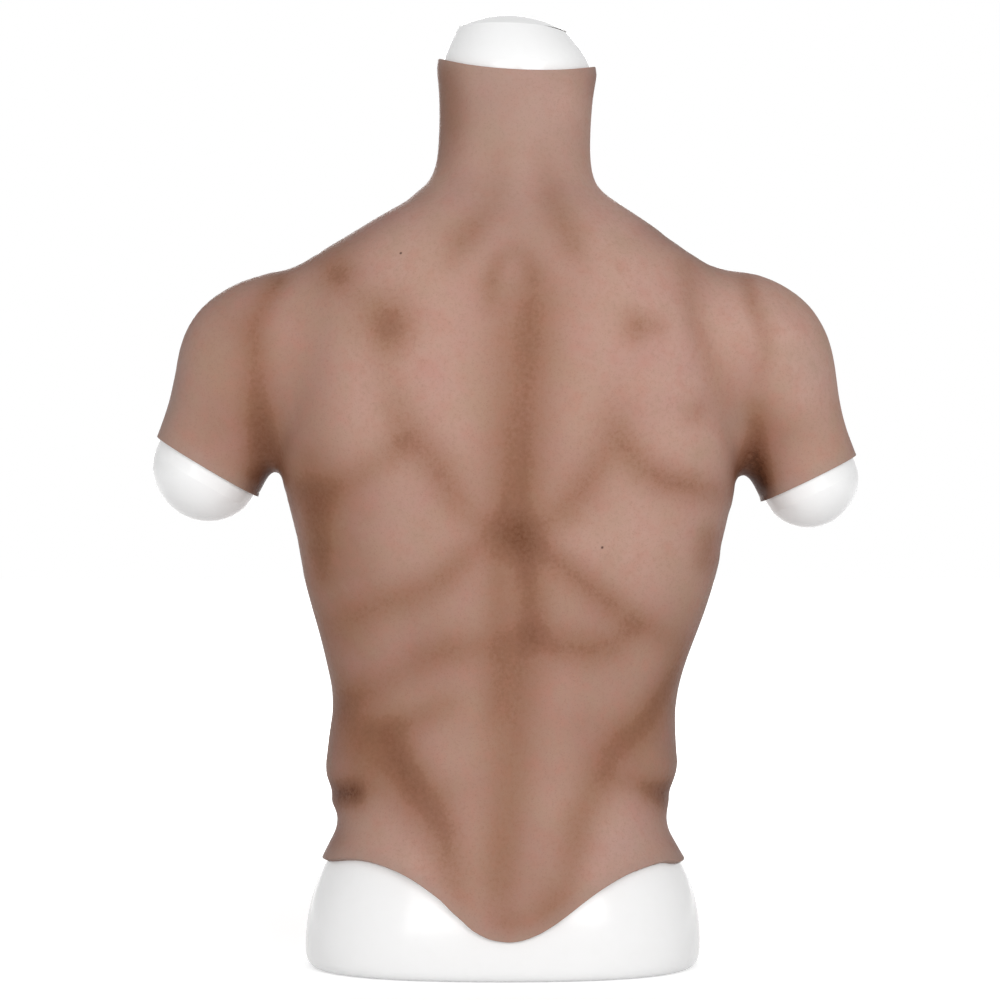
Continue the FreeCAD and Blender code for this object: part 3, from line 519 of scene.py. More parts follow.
def plugged(shape, reach):
    """Runs each opening of a sheet on by a reach and closes it. Returns the added faces."""
    ways = rim_ways()
    added = []
    for ring in rims(shape):
        middle = rim_middle(ring)
        way = min(ways, key=lambda w: (w[0] - middle).length)[1]
        grown = bmesh.ops.extrude_edge_only(shape, edges=ring)["geom"]
        far = [g for g in grown if isinstance(g, bmesh.types.BMVert)]
        bmesh.ops.translate(shape, verts=far, vec=way * reach)
        added += [g for g in grown if isinstance(g, bmesh.types.BMFace)]
        end = [e for e in shape.edges if e.is_boundary and e.verts[0] in far and e.verts[1] in far]
        added += bmesh.ops.holes_fill(shape, edges=end, sides=0)["faces"]
    return added


def tree_of(shape, faces=None):
    """A search tree over some faces of a mesh."""
    places, index, polygons = [], {}, []
    for face in shape.faces if faces is None else faces:
        for vert in face.verts:
            if vert not in index:
                index[vert] = len(places)
                places.append(vert.co.copy())
        polygons.append([index[v] for v in face.verts])
    return BVHTree.FromPolygons(places, polygons)


def voxel_remeshed(shape, spacing):
    """The outside of a closed mesh as even quads of about that spacing."""
    mesh = bpy.data.meshes.new("remesh")
    shape.to_mesh(mesh)
    shape.free()
    thing = bpy.data.objects.new("remesh", mesh)
    bpy.context.scene.collection.objects.link(thing)
    modifier = thing.modifiers.new("remesh", "REMESH")
    modifier.mode = "VOXEL"
    modifier.voxel_size = spacing
    graph = bpy.context.evaluated_depsgraph_get()
    even = bpy.data.meshes.new_from_object(thing.evaluated_get(graph))
    bpy.data.objects.remove(thing)
    out = bmesh.new()
    out.from_mesh(even)
    bpy.data.meshes.remove(even)
    bpy.data.meshes.remove(mesh)
    return out


def rim_points(shape):
    """A search tree of points along the open edges of a sheet."""
    points = []
    for edge in shape.edges:
        if edge.is_boundary:
            a, b = (v.co for v in edge.verts)
            count = max(1, math.ceil((b - a).length / RIM_STEP))
            points += [a.lerp(b, step / count) for step in range(count)]
    tree = KDTree(len(points))
    for place, point in enumerate(points):
        tree.insert(point, place)
    tree.balance()
    return tree


def edge_tree(edges):
    """A search tree of the middles of some edges."""
    tree = KDTree(len(edges))
    for edge in edges:
        tree.insert((edge.verts[0].co + edge.verts[1].co) / 2, edge.index)
    tree.balance()
    return tree


def creases(shape):
    """The sharp inner edges of a sheet, where arms and torso meet, as a search tree."""
    shape.normal_update()
    return edge_tree([e for e in shape.edges if e.is_manifold and e.calc_face_angle(0) > CREASE_TURN])


def smoothed(shape, verts, rounds):
    """Evens out some vertices of a sheet."""
    axes = {"use_axis_x": True, "use_axis_y": True, "use_axis_z": True}
    for _ in range(rounds):
        bmesh.ops.smooth_vert(shape, verts=verts, factor=0.5, **axes)


def even_sheet(node, core, spacing):
    """The outer face of a solid as an even sheet of quads whose rims follow the solid's."""
    sheet = outer_sheet(node, core)
    rim = rim_points(sheet)
    sharp = creases(sheet)
    surface = tree_of(sheet)
    added = plugged(sheet, 4 * spacing)
    plug = tree_of(sheet, added)
    shape = voxel_remeshed(sheet, spacing)
    middles = [(face, face.calc_center_median()) for face in shape.faces]
    beyond = [face for face, m in middles if plug.find_nearest(m)[3] < surface.find_nearest(m)[3]]
    bmesh.ops.delete(shape, geom=beyond, context="FACES")
    for _ in range(3):
        ears = [f for f in shape.faces if sum(e.is_boundary for e in f.edges) > 1]
        bmesh.ops.delete(shape, geom=ears, context="FACES")
    # the remesh's steps become slopes: the outer corner of each step goes
    corners = [v for v in shape.verts if len(v.link_edges) == 2]
    bmesh.ops.dissolve_verts(shape, verts=corners)
    edge_verts = [v for v in shape.verts if v.is_boundary]
    near = set(edge_verts)
    for _ in range(4):
        near |= {w for v in near for e in v.link_edges for w in e.verts}
    for _ in range(RIM_ROUNDS):
        for vert in edge_verts:
            along = [e.other_vert(vert).co for e in vert.link_edges if e.is_boundary]
            vert.co = rim.find(sum(along, vert.co * 2) / (len(along) + 2))[0]
        smoothed(shape, [v for v in near if not v.is_boundary], 1)
    for vert in shape.verts:
        vert.co = rim.find(vert.co)[0] if vert.is_boundary else surface.find_nearest(vert.co)[0]
    inside = [v for v in shape.verts if not v.is_boundary]
    smoothed(shape, inside, 2)
    for reach, rounds in CREASE_SMOOTHING:
        smoothed(shape, [v for v in inside if sharp.find(v.co)[2] < reach * MM], rounds)
    return shape


def shell_from(shape, core, gap, lip):
    """Gives a sheet its thickness down to the core and rounds its rims."""
    outer = rims(shape)
    copy = bmesh.ops.duplicate(shape, geom=list(shape.verts) + list(shape.edges) + list(shape.faces))
    twin = copy["edge_map"]
    inner = [g for g in copy["geom"] if isinstance(g, bmesh.types.BMFace)]
    bmesh.ops.reverse_faces(shape, faces=inner)
    for vert in (g for g in copy["geom"] if isinstance(g, bmesh.types.BMVert)):
        place = core.find_nearest(vert.co)[0]
        vert.co = place + (vert.co - place).normalized() * gap
    for ring in outer:
        bmesh.ops.bridge_loops(shape, edges=ring + [twin[e] for e in ring])
    bmesh.ops.bevel(
        shape,
        geom=[e for ring in outer for e in ring],
        offset=lip,
        segments=3,
        profile=0.5,
        affect="EDGES",
        material=-1,
        clamp_overlap=True,
    )


# ---------------------------------------------------------------- muscles, airbrush work and painted shade


def coordinates(shape):
    """The places and normals of a mesh's vertices, in millimetres, as arrays."""
    shape.normal_update()
    places = np.array([v.co for v in shape.verts]) / MM
    normals = np.array([v.normal for v in shape.verts])
    return places, normals


def mist(places, line, spread):
    """One stroke: each of its points is across, up, half width and strength. It fades outwards."""
    flat = places[:, (0, 2)]
    layer = np.zeros(len(flat))
    for first, last in zip(line, line[1:] or line):
        first, last = np.array(first, float), np.array(last, float)
        way = (last - first)[:2]
        share = np.clip(((flat - first[:2]) @ way) / max(way @ way, 1e-9), 0, 1)
        off = np.hypot(*(flat - first[:2] - share[:, None] * way).T)
        width, strength = first[2:, None] + share * (last - first)[2:, None]
        layer = np.maximum(layer, strength * np.exp(-((off / (width * spread)) ** 2)))
    return layer


def facing(normals, face):
    """1 where the skin faces that way, fading to 0 round the side."""
    return np.clip((normals[:, 1] * face + 0.3) / 0.5, 0, 1)


def edgewise(normals):
    """1 where the skin faces sideways, fading to 0 on the back and on the front: the mask of the painted
    shade round the sides.
    """
    return np.exp(-((normals[:, 1] / 0.42) ** 2))


def sprayed(places, normals, strokes, spread=1.0):
    """The airbrush's layer over the whole skin: strokes laid one over the other."""
    layer = np.zeros(len(places))
    for face, *line in strokes:
        layer = 1 - (1 - layer) * (1 - mist(places, line, spread) * facing(normals, face))
    return layer


def pressed(places, normals, strokes):
    """The mould's relief in millimetres: strokes whose strengths are heights, summed."""
    layer = np.zeros(len(places))
    for face, *line in strokes:
        low = [(x, z, width, -height) for x, z, width, height in line]
        heights = mist(places, line, 1.0) - mist(places, low, 1.0)
        layer += heights * facing(normals, face)
    return layer


def mirrored(strokes):
    """The strokes and their mirror images about the midline."""
    return strokes + tuple((face, *((-x, *rest) for x, *rest in line)) for face, *line in strokes)


def round_the_side(*lines):
    """Each line as a stroke on the back and one on the front, where it runs over the body's edge."""
    return tuple((face, *line) for line in lines for face in (BACK, FRONT))


# Brown mist in the furrows; where the strokes are strongest, in the armpits and the folds over the hips, it
# is painted shade.
# A stroke is its face of the body, then the points that the hand follows: across, up, half width, all in
# millimetres, and strength.
UMBER_AND_SHADE_STROKES = (
    # nape
    (BACK, (3, 660, 9, 0.12), (5, 640, 10, 0.20), (10, 618, 10, 0.27), (24, 600, 11, 0.42),
     (34, 588, 11, 0.42), (42, 572, 10, 0.2)),
    (BACK, (-28, 664, 9, 0.16), (-36, 640, 9, 0.24), (-38, 622, 10, 0.36), (-47, 600, 10, 0.38),
     (-54, 584, 10, 0.36), (-62, 568, 9, 0.15)),
    (BACK, (12, 535, 8, 0.2), (11, 556, 7, 0.42), (5, 572, 7, 0.34), (-6, 579, 7, 0.26),
     (-16, 575, 7, 0.30), (-22, 560, 9, 0.34)),
    (BACK, (48, 730, 8, 0.35), (42, 705, 9, 0.38), (44, 670, 9, 0.25), (52, 646, 8, 0.15)),
    # spine
    (BACK, (-22, 560, 11, 0.16), (-21, 535, 16, 0.48), (-19, 505, 18, 0.50), (-16, 470, 17, 0.42),
     (-14, 440, 17, 0.46), (-12, 405, 16, 0.48), (-9, 372, 14, 0.50), (-9, 352, 12, 0.63)),
    (BACK, (4, 545, 12, 0.10), (2, 500, 14, 0.12), (0, 455, 14, 0.12), (0, 400, 14, 0.16),
     (2, 360, 12, 0.28)),
    (BACK, (-9, 352, 12, 0.63), (-15, 330, 12, 0.58), (-20, 305, 13, 0.50), (-20, 280, 14, 0.48),
     (-12, 255, 16, 0.42), (-8, 225, 16, 0.40), (-6, 190, 15, 0.38), (-2, 150, 13, 0.36),
     (2, 110, 12, 0.40), (4, 80, 12, 0.40), (4, 52, 10, 0.25)),
    (BACK, (8, 335, 8, 0.3), (6, 300, 9, 0.28), (6, 250, 10, 0.28), (8, 210, 9, 0.2)),
    # shoulder blades
    (BACK, (93, 524, 19, 0.50)),
    (BACK, (90, 510, 13, 0.26), (96, 485, 12, 0.16)),
    (BACK, (-106, 519, 12, 0.45), (-118, 520, 9, 0.30)),
    (BACK, (-152, 452, 11, 0.28)),
    (BACK, (146, 574, 9, 0.35), (134, 562, 14, 0.54), (122, 548, 11, 0.24)),
    (BACK, (86, 456, 14, 0.28), (76, 434, 14, 0.40), (62, 418, 13, 0.42), (52, 404, 12, 0.46),
     (42, 386, 12, 0.42), (30, 372, 11, 0.30), (12, 358, 10, 0.28)),
    (BACK, (-84, 462, 12, 0.12), (-85, 446, 14, 0.24), (-84, 428, 13, 0.32), (-74, 410, 12, 0.38),
     (-62, 392, 12, 0.44), (-50, 376, 12, 0.42), (-28, 360, 11, 0.32)),
    (BACK, (-92, 434, 10, 0.22), (-98, 422, 11, 0.36), (-110, 406, 11, 0.44), (-130, 396, 11, 0.48),
     (-150, 392, 10, 0.46), (-166, 388, 9, 0.35)),
    # shoulders and armpits; in the armpits the brown is partly painted shade
    (BACK, (184, 560, 7, 0.5), (194, 543, 9, 0.40), (203, 520, 10, 0.44), (201, 490, 10, 0.44),
     (200, 468, 12, 0.54), (198, 445, 13, 0.72), (196, 425, 13, 0.80), (192, 406, 11, 0.72)),
    (BACK, (178, 404, 9, 0.10), (168, 392, 10, 0.26)),
    (BACK, (203, 400, 9, 0.62), (205, 388, 8, 0.75)),
    (BACK, (168, 428, 10, 0.06), (158, 408, 12, 0.34), (154, 388, 15, 0.58), (152, 362, 14, 0.60),
     (150, 342, 13, 0.66), (149, 322, 11, 0.50)),
    (BACK, (150, 380, 12, 0.42), (136, 390, 12, 0.40), (118, 399, 11, 0.34), (100, 411, 10, 0.28),
     (84, 424, 10, 0.30)),
    (BACK, (-146, 570, 9, 0.26), (-149, 545, 9, 0.26), (-152, 525, 8, 0.27), (-160, 505, 8, 0.28),
     (-168, 484, 9, 0.26), (-176, 466, 10, 0.26), (-186, 448, 11, 0.26)),
    (BACK, (-196, 562, 6, 0.35), (-200, 542, 6, 0.36), (-207, 520, 7, 0.28), (-210, 500, 7, 0.24),
     (-207, 482, 7, 0.15)),
    # the right armpit: painted shade, near black where strongest
    (BACK, (-203, 454, 9, 0.38), (-205, 436, 9, 0.66), (-204, 418, 10, 1.0), (-206, 402, 10, 1.2),
     (-209, 384, 9, 1.3)),
    (BACK, (-198, 418, 6, 0.3), (-198, 404, 7, 1.1)),
    (BACK, (-166, 350, 9, 0.4), (-163, 332, 9, 0.4)),
    # ribs
    (BACK, (140, 276, 14, 0.34), (124, 286, 14, 0.42), (104, 297, 13, 0.42), (84, 302, 12, 0.40),
     (64, 310, 11, 0.38), (46, 322, 11, 0.42), (34, 334, 10, 0.38), (22, 345, 9, 0.3)),
    (BACK, (134, 218, 14, 0.48), (118, 224, 13, 0.44), (101, 231, 12, 0.36), (84, 243, 11, 0.30),
     (66, 254, 12, 0.40), (46, 261, 12, 0.44), (24, 264, 11, 0.32), (6, 268, 10, 0.15)),
    (BACK, (104, 198, 9, 0.22), (84, 203, 9, 0.32), (64, 210, 9, 0.34), (46, 218, 9, 0.25)),
    (BACK, (-28, 342, 10, 0.42), (-48, 328, 10, 0.46), (-68, 311, 10, 0.46), (-84, 299, 10, 0.47),
     (-98, 288, 11, 0.38), (-112, 281, 11, 0.34), (-126, 272, 10, 0.28)),
    (BACK, (-22, 273, 11, 0.42), (-42, 265, 12, 0.44), (-66, 262, 12, 0.46), (-86, 265, 11, 0.42),
     (-104, 277, 10, 0.32)),
    # flanks and loin
    (BACK, (-146, 262, 9, 0.3), (-138, 240, 8, 0.52), (-128, 220, 10, 0.60), (-114, 202, 12, 0.60),
     (-98, 190, 14, 0.58), (-86, 178, 14, 0.54), (-80, 162, 13, 0.50), (-68, 146, 12, 0.37),
     (-58, 126, 11, 0.38), (-54, 104, 11, 0.34), (-50, 84, 10, 0.28), (-36, 64, 10, 0.25)),
    # the fold over the hip: painted shade in the crease
    (BACK, (-104, 156, 8, 0.3), (-120, 147, 9, 0.65), (-134, 141, 11, 1.0)),
    (BACK, (106, 194, 12, 0.36), (92, 188, 15, 0.63), (84, 170, 14, 0.70), (74, 154, 15, 0.68),
     (60, 138, 15, 0.60), (49, 120, 14, 0.54), (45, 100, 12, 0.45), (40, 80, 11, 0.35), (34, 64, 9, 0.2)),
    # the fold over the hip: painted shade in the crease
    (BACK, (112, 150, 8, 0.35), (124, 145, 10, 0.95), (140, 141, 10, 1.0)),
    (BACK, (130, 205, 14, 0.38), (120, 185, 16, 0.42), (112, 170, 14, 0.35)),
    (BACK, (-8, 48, 9, 0.25), (-30, 52, 10, 0.28), (-48, 64, 9, 0.2)),
)
FRONT_UMBER_AND_SHADE = (
    # under the chest muscles and round the shoulders
    (FRONT, (14, 456, 10, 0.45), (46, 444, 12, 0.50), (92, 442, 13, 0.50), (134, 462, 12, 0.48),
     (160, 496, 11, 0.4), (172, 530, 10, 0.25)),
    (FRONT, (0, 572, 9, 0.04), (0, 545, 9, 0.3), (0, 500, 10, 0.42), (0, 440, 11, 0.48), (0, 380, 10, 0.42),
     (0, 320, 10, 0.42), (0, 250, 10, 0.38), (0, 180, 10, 0.25)),
    (FRONT, (102, 466, 6, 0.5)),
    (FRONT, (18, 592, 9, 0.35), (60, 598, 9, 0.32), (112, 586, 9, 0.28)),
    (FRONT, (14, 606, 9, 0.3), (28, 650, 9, 0.34), (44, 700, 9, 0.2)),
    # between the belly muscles
    (FRONT, (8, 402, 9, 0.34), (40, 404, 9, 0.36), (70, 392, 9, 0.3)),
    (FRONT, (8, 345, 9, 0.34), (40, 347, 9, 0.36), (68, 340, 9, 0.3)),
    (FRONT, (8, 284, 9, 0.3), (38, 286, 9, 0.32), (64, 282, 9, 0.26)),
    (FRONT, (72, 428, 10, 0.4), (80, 370, 11, 0.40), (76, 300, 11, 0.40), (84, 230, 11, 0.40),
     (62, 150, 11, 0.3)),
    # ribs under the arms
    (FRONT, (92, 398, 10, 0.34), (128, 420, 10, 0.34), (152, 448, 10, 0.3)),
    (FRONT, (94, 358, 10, 0.34), (134, 384, 10, 0.34)),
    (FRONT, (96, 320, 10, 0.3), (136, 342, 10, 0.3)),
    # groin line and hip
    (FRONT, (130, 198, 11, 0.5), (102, 152, 11, 0.46), (64, 106, 10, 0.40), (42, 74, 10, 0.35)),
    # the fold over the hip: painted shade in the crease
    (FRONT, (122, 150, 9, 0.6), (138, 143, 9, 0.75)),
    # the front of the armpit: painted shade
    (FRONT, (190, 425, 13, 0.7), (192, 404, 13, 0.85), (205, 390, 10, 0.85)),
)

# Tan mist over whole regions: partly the silicone's darker tone, partly painted shade that darkens the left
# (+x) side, where less light falls.
TAN_AND_SHADE_STROKES = (
    (BACK, (190, 560, 26, 0.3), (212, 530, 34, 0.45), (216, 480, 36, 0.46), (230, 430, 36, 0.56)),
    (BACK, (160, 520, 30, 0.3), (160, 440, 34, 0.50), (150, 380, 36, 0.62), (138, 310, 34, 0.62),
     (126, 240, 36, 0.66), (122, 180, 34, 0.6)),
    (BACK, (100, 180, 36, 0.5), (84, 140, 30, 0.4)),
    (BACK, (60, 330, 34, 0.2), (60, 260, 40, 0.38), (50, 210, 34, 0.25)),
    (BACK, (6, 700, 24, 0.2), (-8, 640, 22, 0.05), (-20, 560, 38, 0.3), (-20, 480, 46, 0.4),
     (-16, 420, 44, 0.3)),
    (BACK, (-4, 420, 34, 0.2), (-6, 340, 40, 0.35), (-8, 260, 44, 0.45), (-6, 200, 46, 0.5),
     (-4, 130, 42, 0.45), (-4, 60, 36, 0.4)),
    (BACK, (-70, 280, 34, 0.28), (-90, 230, 34, 0.26), (-100, 180, 32, 0.4)),
    (BACK, (-140, 280, 26, 0.4), (-128, 220, 26, 0.45), (-124, 170, 24, 0.45)),
    (BACK, (-200, 470, 24, 0.3), (-220, 436, 26, 0.62), (-226, 410, 20, 0.4)),
    (BACK, (52, 725, 14, 0.6), (46, 690, 16, 0.55)),
    (BACK, (118, 372, 24, 0.5), (118, 330, 22, 0.42)),
    (BACK, (-58, 196, 24, 0.4), (-70, 170, 22, 0.3)),
    (BACK, (38, 152, 18, 0.36)),
    (BACK, (-56, 545, 20, 0.22)),
    (BACK, (-40, 165, 16, 0.2)),
    (BACK, (98, 606, 14, 0.5), (140, 586, 16, 0.65), (176, 578, 14, 0.3)),
    (FRONT, (98, 606, 14, 0.5), (140, 586, 16, 0.65), (176, 578, 14, 0.3)),
    (BACK, (-60, 110, 24, 0.2), (-40, 70, 22, 0.25)),
)
FRONT_TAN = (
    (FRONT, (110, 190, 40, 0.5), (80, 110, 34, 0.4)),
    (FRONT, (215, 520, 34, 0.4), (222, 440, 36, 0.5)),
    (FRONT, (130, 400, 30, 0.4), (126, 300, 30, 0.45)),
)
# Pink mist over the fleshy parts.
FLUSH_STROKES = (
    (BACK, (-80, 600, 26, 0.5), (-100, 560, 30, 0.55), (-140, 500, 34, 0.60), (-150, 440, 30, 0.55)),
    (BACK, (-62, 560, 20, 0.25), (-66, 500, 24, 0.15), (-62, 450, 20, 0.3)),
    (BACK, (90, 590, 26, 0.5), (70, 555, 28, 0.35), (64, 500, 28, 0.25), (46, 440, 22, 0.25)),
    (BACK, (118, 500, 22, 0.35), (112, 450, 26, 0.4)),
    (BACK, (-100, 350, 30, 0.55), (-70, 350, 20, 0.4)),
    (BACK, (90, 360, 24, 0.15), (66, 340, 20, 0.25)),
    (BACK, (38, 170, 16, 0.1), (34, 120, 16, 0.2)),
    (BACK, (-44, 190, 16, 0.1), (-34, 140, 16, 0.15)),
    (BACK, (-92, 108, 22, 0.8), (-76, 92, 14, 0.5)),
    (BACK, (96, 112, 22, 0.4), (72, 92, 16, 0.5)),
    (BACK, (-24, 700, 30, 0.15), (-16, 640, 24, 0.3)),
    (BACK, (-50, 705, 16, 0.7)),
    (BACK, (-182, 540, 22, 0.5), (-228, 510, 26, 0.8), (-244, 480, 24, 0.8)),
)
FRONT_FLUSH = (
    (FRONT, (90, 500, 40, 0.5)),
    (FRONT, (36, 375, 16, 0.4)),
    (FRONT, (36, 316, 16, 0.4)),
    (FRONT, (36, 250, 18, 0.4)),
    (FRONT, (30, 150, 22, 0.3)),
)

# Furrows (below zero) and swells pressed in the skin: across, up, half width, height.
RELIEF_STROKES = (
    (BACK, (-8, 560, 10, -1.5), (-10, 480, 11, -3.0), (-8, 400, 11, -3.0), (-6, 300, 11, -2.5),
     (-2, 200, 11, -2.0), (0, 110, 10, -1.5)),
    *round_the_side(
        ((84, 628, 9, -1.5), (104, 616, 10, -1.5), (152, 586, 10, -1.2)),
        ((206, 566, 10, -1.2), (232, 556, 10, -1.2), (260, 530, 12, -1.0), (272, 490, 12, -1.0)),
        ((-134, 596, 9, -1.2), (-150, 588, 10, -2.0), (-166, 580, 9, -1.0)),
        ((-200, 572, 9, 0.8), (-232, 560, 10, 0.8), (-252, 544, 9, 0.5)),
        ((176, 384, 9, -1.4), (171, 350, 10, -2.0), (167, 330, 9, -1.0)),
        ((-182, 368, 9, -1.2), (-178, 345, 9, -1.4)),
        ((146, 150, 7, 1.0), (144, 134, 8, 3.0)),
        ((-139, 145, 8, 1.0), (-137, 134, 8, 1.0)),
    ),
    # the roll over each hip, and the fold under it
    (BACK, (150, 160, 11, 1.2), (116, 166, 10, 1.0)),
    (BACK, (150, 140, 8, -0.8), (132, 145, 8, -1.6), (118, 150, 8, -1.4), (104, 156, 8, -0.4)),
    (BACK, (-146, 162, 11, 1.2), (-116, 166, 10, 1.0)),
    (BACK, (-146, 138, 8, -0.8), (-130, 144, 8, -1.6), (-114, 150, 8, -1.4), (-102, 156, 8, -0.4)),
)
FRONT_RELIEF = (
    (FRONT, (150, 160, 11, 1.2), (120, 166, 10, 1.0)),
    (FRONT, (150, 140, 8, -0.8), (132, 145, 8, -1.6), (116, 150, 8, -1.4), (104, 156, 8, -0.4)),
    (FRONT, (102, 466, 4, 1.8)),
)
# Where the silicone is greyer: the neck, and the tops of the shoulders less so. The grey along the outer edge
# of the left (+x) arm is a painted sheen.
BARE_AND_SHEEN_STROKES = (
    (BACK, (0, 740, 60, 0.9), (-10, 690, 60, 0.75), (-6, 640, 50, 0.5), (-4, 590, 60, 0.35)),
    # painted sheen: the grey along the outer edge of the left (+x) arm
    (BACK, (268, 520, 12, 0.6), (277, 480, 15, 1.0), (284, 430, 13, 0.9)),
    (BACK, (-244, 490, 26, 0.5)),
    (BACK, (-186, 448, 13, 0.6)),
    (BACK, (-96, 104, 22, 0.5)),
    (FRONT, (0, 740, 60, 0.6), (0, 690, 60, 0.55), (-4, 640, 40, 0.3)),
)
# Where the painted shade round the sides is thin, so that the skin there reads as more lit.
SIDE_SHADE_GAPS = (
    (BACK, (50, 642, 14, 0.7), (42, 622, 14, 0.6)),
    (BACK, (-58, 700, 24, 0.9), (-62, 640, 20, 0.9), (-96, 604, 18, 0.7)),
    (BACK, (-190, 572, 18, 0.4), (-222, 540, 34, 0.9), (-250, 500, 30, 0.95), (-266, 440, 22, 0.8)),
    (BACK, (-118, 104, 22, 0.6)),
    (BACK, (178, 412, 12, 0.5)),
)
# Where the hem is drawn up or down: across, up, half width, height.
HEM_LIFTS = (
    (BACK, (139, 96, 16, 3.2), (107, 93, 16, 3.4), (76, 81, 14, 4.0), (53, 64, 10, 3.0)),
    (BACK, (29, 41, 8, -3.2), (16, 34, 8, -1.8)),
    (BACK, (-131, 96, 9, 3.0)),
)
NAVEL = (0, 226)
MOLES = ((83, 578), (-77, 344))


def near_rims(shape):
    """How near each vertex is to a rim: 1 on the rim, fading to 0 further in."""
    rim = edge_tree([e for e in shape.edges if e.is_boundary])
    return np.array([max(0.0, 1 - rim.find(v.co)[2] / RIM_FADE) for v in shape.verts])


def build_skin_mesh(skin):
    """The muscle skin: an even sheet over the moulded shape, carved, tinted with airbrush colour, painted
    shade and painted sheen, and thickened.
    """
    core_shape = merged_copy(*CORE_NODES)
    core = tree_of(core_shape)
    shape = even_sheet("muscle_skin", core, skin.grid)
    places, normals = coordinates(shape)
    # the brown mist, whose strongest strokes are painted shade in the armpits and the folds over the hips
    umber_and_shade = sprayed(places, normals, UMBER_AND_SHADE_STROKES + mirrored(FRONT_UMBER_AND_SHADE), skin.spread)
    layers = {
        "umber_and_shade": umber_and_shade,
        # tan: partly regional tone, partly painted shade on the left (+x) side
        "tan": sprayed(places, normals, TAN_AND_SHADE_STROKES + mirrored(FRONT_TAN)),
        "flush": sprayed(places, normals, FLUSH_STROKES + mirrored(FRONT_FLUSH)),
        # painted shade: the skin darkens as it turns sideways, less where the light is meant to fall more
        "side": edgewise(normals) * (1 - sprayed(places, normals, SIDE_SHADE_GAPS)),
        # paler rims, and a painted sheen along the outer edge of the left (+x) arm
        "bare_and_sheen": np.maximum(near_rims(shape), sprayed(places, normals, BARE_AND_SHEEN_STROKES)),
    }
    relief = pressed(places, normals, RELIEF_STROKES + mirrored(FRONT_RELIEF)) - FURROW_DEPTH * umber_and_shade
    hollow = np.hypot(places[:, 0] - NAVEL[0], (places[:, 2] - NAVEL[1]) * 0.8)
    relief -= NAVEL_DEPTH * np.exp(-((hollow / NAVEL_WIDTH) ** 2)) * facing(normals, FRONT)
    for vert, normal, rise in zip(shape.verts, normals, relief * skin.relief):
        if not vert.is_boundary:
            vert.co += Vector(normal) * (rise * MM)
    for vert, lift in zip(shape.verts, pressed(places, normals, HEM_LIFTS)):
        vert.co.z += lift * MM
    tints = [shape.verts.layers.float.new(name) for name in layers]
    for place, vert in enumerate(shape.verts):
        for tint, values in zip(tints, layers.values()):
            vert[tint] = values[place]
    shell_from(shape, core, SKIN_CLEARANCE, skin.lip)
    mesh = bpy.data.meshes.new("skin_torso")
    shape.to_mesh(mesh)
    shape.free()
    core_shape.free()
    mesh.shade_smooth()
    return mesh


# ---------------------------------------------------------------- operators


def give(nodes, material):
    """Puts a material on CAD nodes."""
    for node in nodes:
        mesh = frame["nodes"][node].data
        mesh.materials.clear()
        mesh.materials.append(material)
        mesh.shade_smooth()


def moles_on(mesh):
    """Where the two moles lie on the back of the skin."""
    polygons = [list(p.vertices) for p in mesh.polygons]
    tree = BVHTree.FromPolygons([v.co for v in mesh.vertices], polygons)
    return [tree.ray_cast(Vector((x * MM, 1, z * MM)), Vector((0, -1, 0)))[0] for x, z in MOLES]


class MANNEQUIN_OT_muscle_skin(bpy.types.Operator):
    """Builds the moulded silicone muscle skin and tints it"""

    bl_idname = "mannequin.muscle_skin"
    bl_label = "Muscle skin"

    def execute(self, context):
        skin = context.scene.mannequin_skin
        mesh = build_skin_mesh(skin)
        mesh.materials.append(moulded_silicone(skin, moles_on(mesh)))
        thing = bpy.data.objects.new("muscle_skin_moulded", mesh)
        context.scene.collection.objects.link(thing)
        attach(thing, "torso")
        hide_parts("muscle_skin")
        return {"FINISHED"}


class MANNEQUIN_OT_form(bpy.types.Operator):
    """Finishes the white form and its three caps"""

    bl_idname = "mannequin.form"
    bl_label = "Form and caps"

    def execute(self, context):
        gelcoat = white_gelcoat(context.scene.mannequin_form)
        give((*CORE_NODES, "neck_cap", "arm_cap_left", "arm_cap_right"), gelcoat)
        give(("seam_strap_left", "seam_strap_right"), glass_laminate())
        return {"FINISHED"}


class MANNEQUIN_OT_fittings(bpy.types.Operator):
    """Finishes the stand fitting, the boards and the caps' pegs and bushes"""

    bl_idname = "mannequin.fittings"
    bl_label = "Fittings"

    def execute(self, context):
        sides = ("left", "right")
        give(("base_board", "neck_board", *(f"arm_board_{s}" for s in sides)), sawn_fibreboard())
        give(("base_flange", "socket_tube"), zinc_plate("zinc_plated_steel", linear("#b9bbbd"), 6))
        give(("flange_screws",), zinc_plate("zinc_plated_screws", linear("#a8a9a6"), 2))
        pegs = ("neck_cap_pegs", *(f"arm_cap_pegs_{s}" for s in sides))
        give(pegs, zinc_plate("turned_steel", linear("#bcbcbc"), 1))
        give(("neck_bushes", "tube_end_cap", *(f"arm_bushes_{s}" for s in sides)), moulded_nylon())
        return {"FINISHED"}


def soft_box(name, place, strength):
    """A square lamp with a cloth front."""
    data = bpy.data.lights.new(name, "AREA")
    data.shape = "RECTANGLE"
    data.size, data.size_y = LAMP_SIZE
    data.energy = strength
    thing = bpy.data.objects.new(name, data)
    thing.location = place
    thing.rotation_euler = (Vector(LAMP_AIM) - Vector(place)).to_track_quat("-Z", "Y").to_euler()
    bpy.context.scene.collection.objects.link(thing)


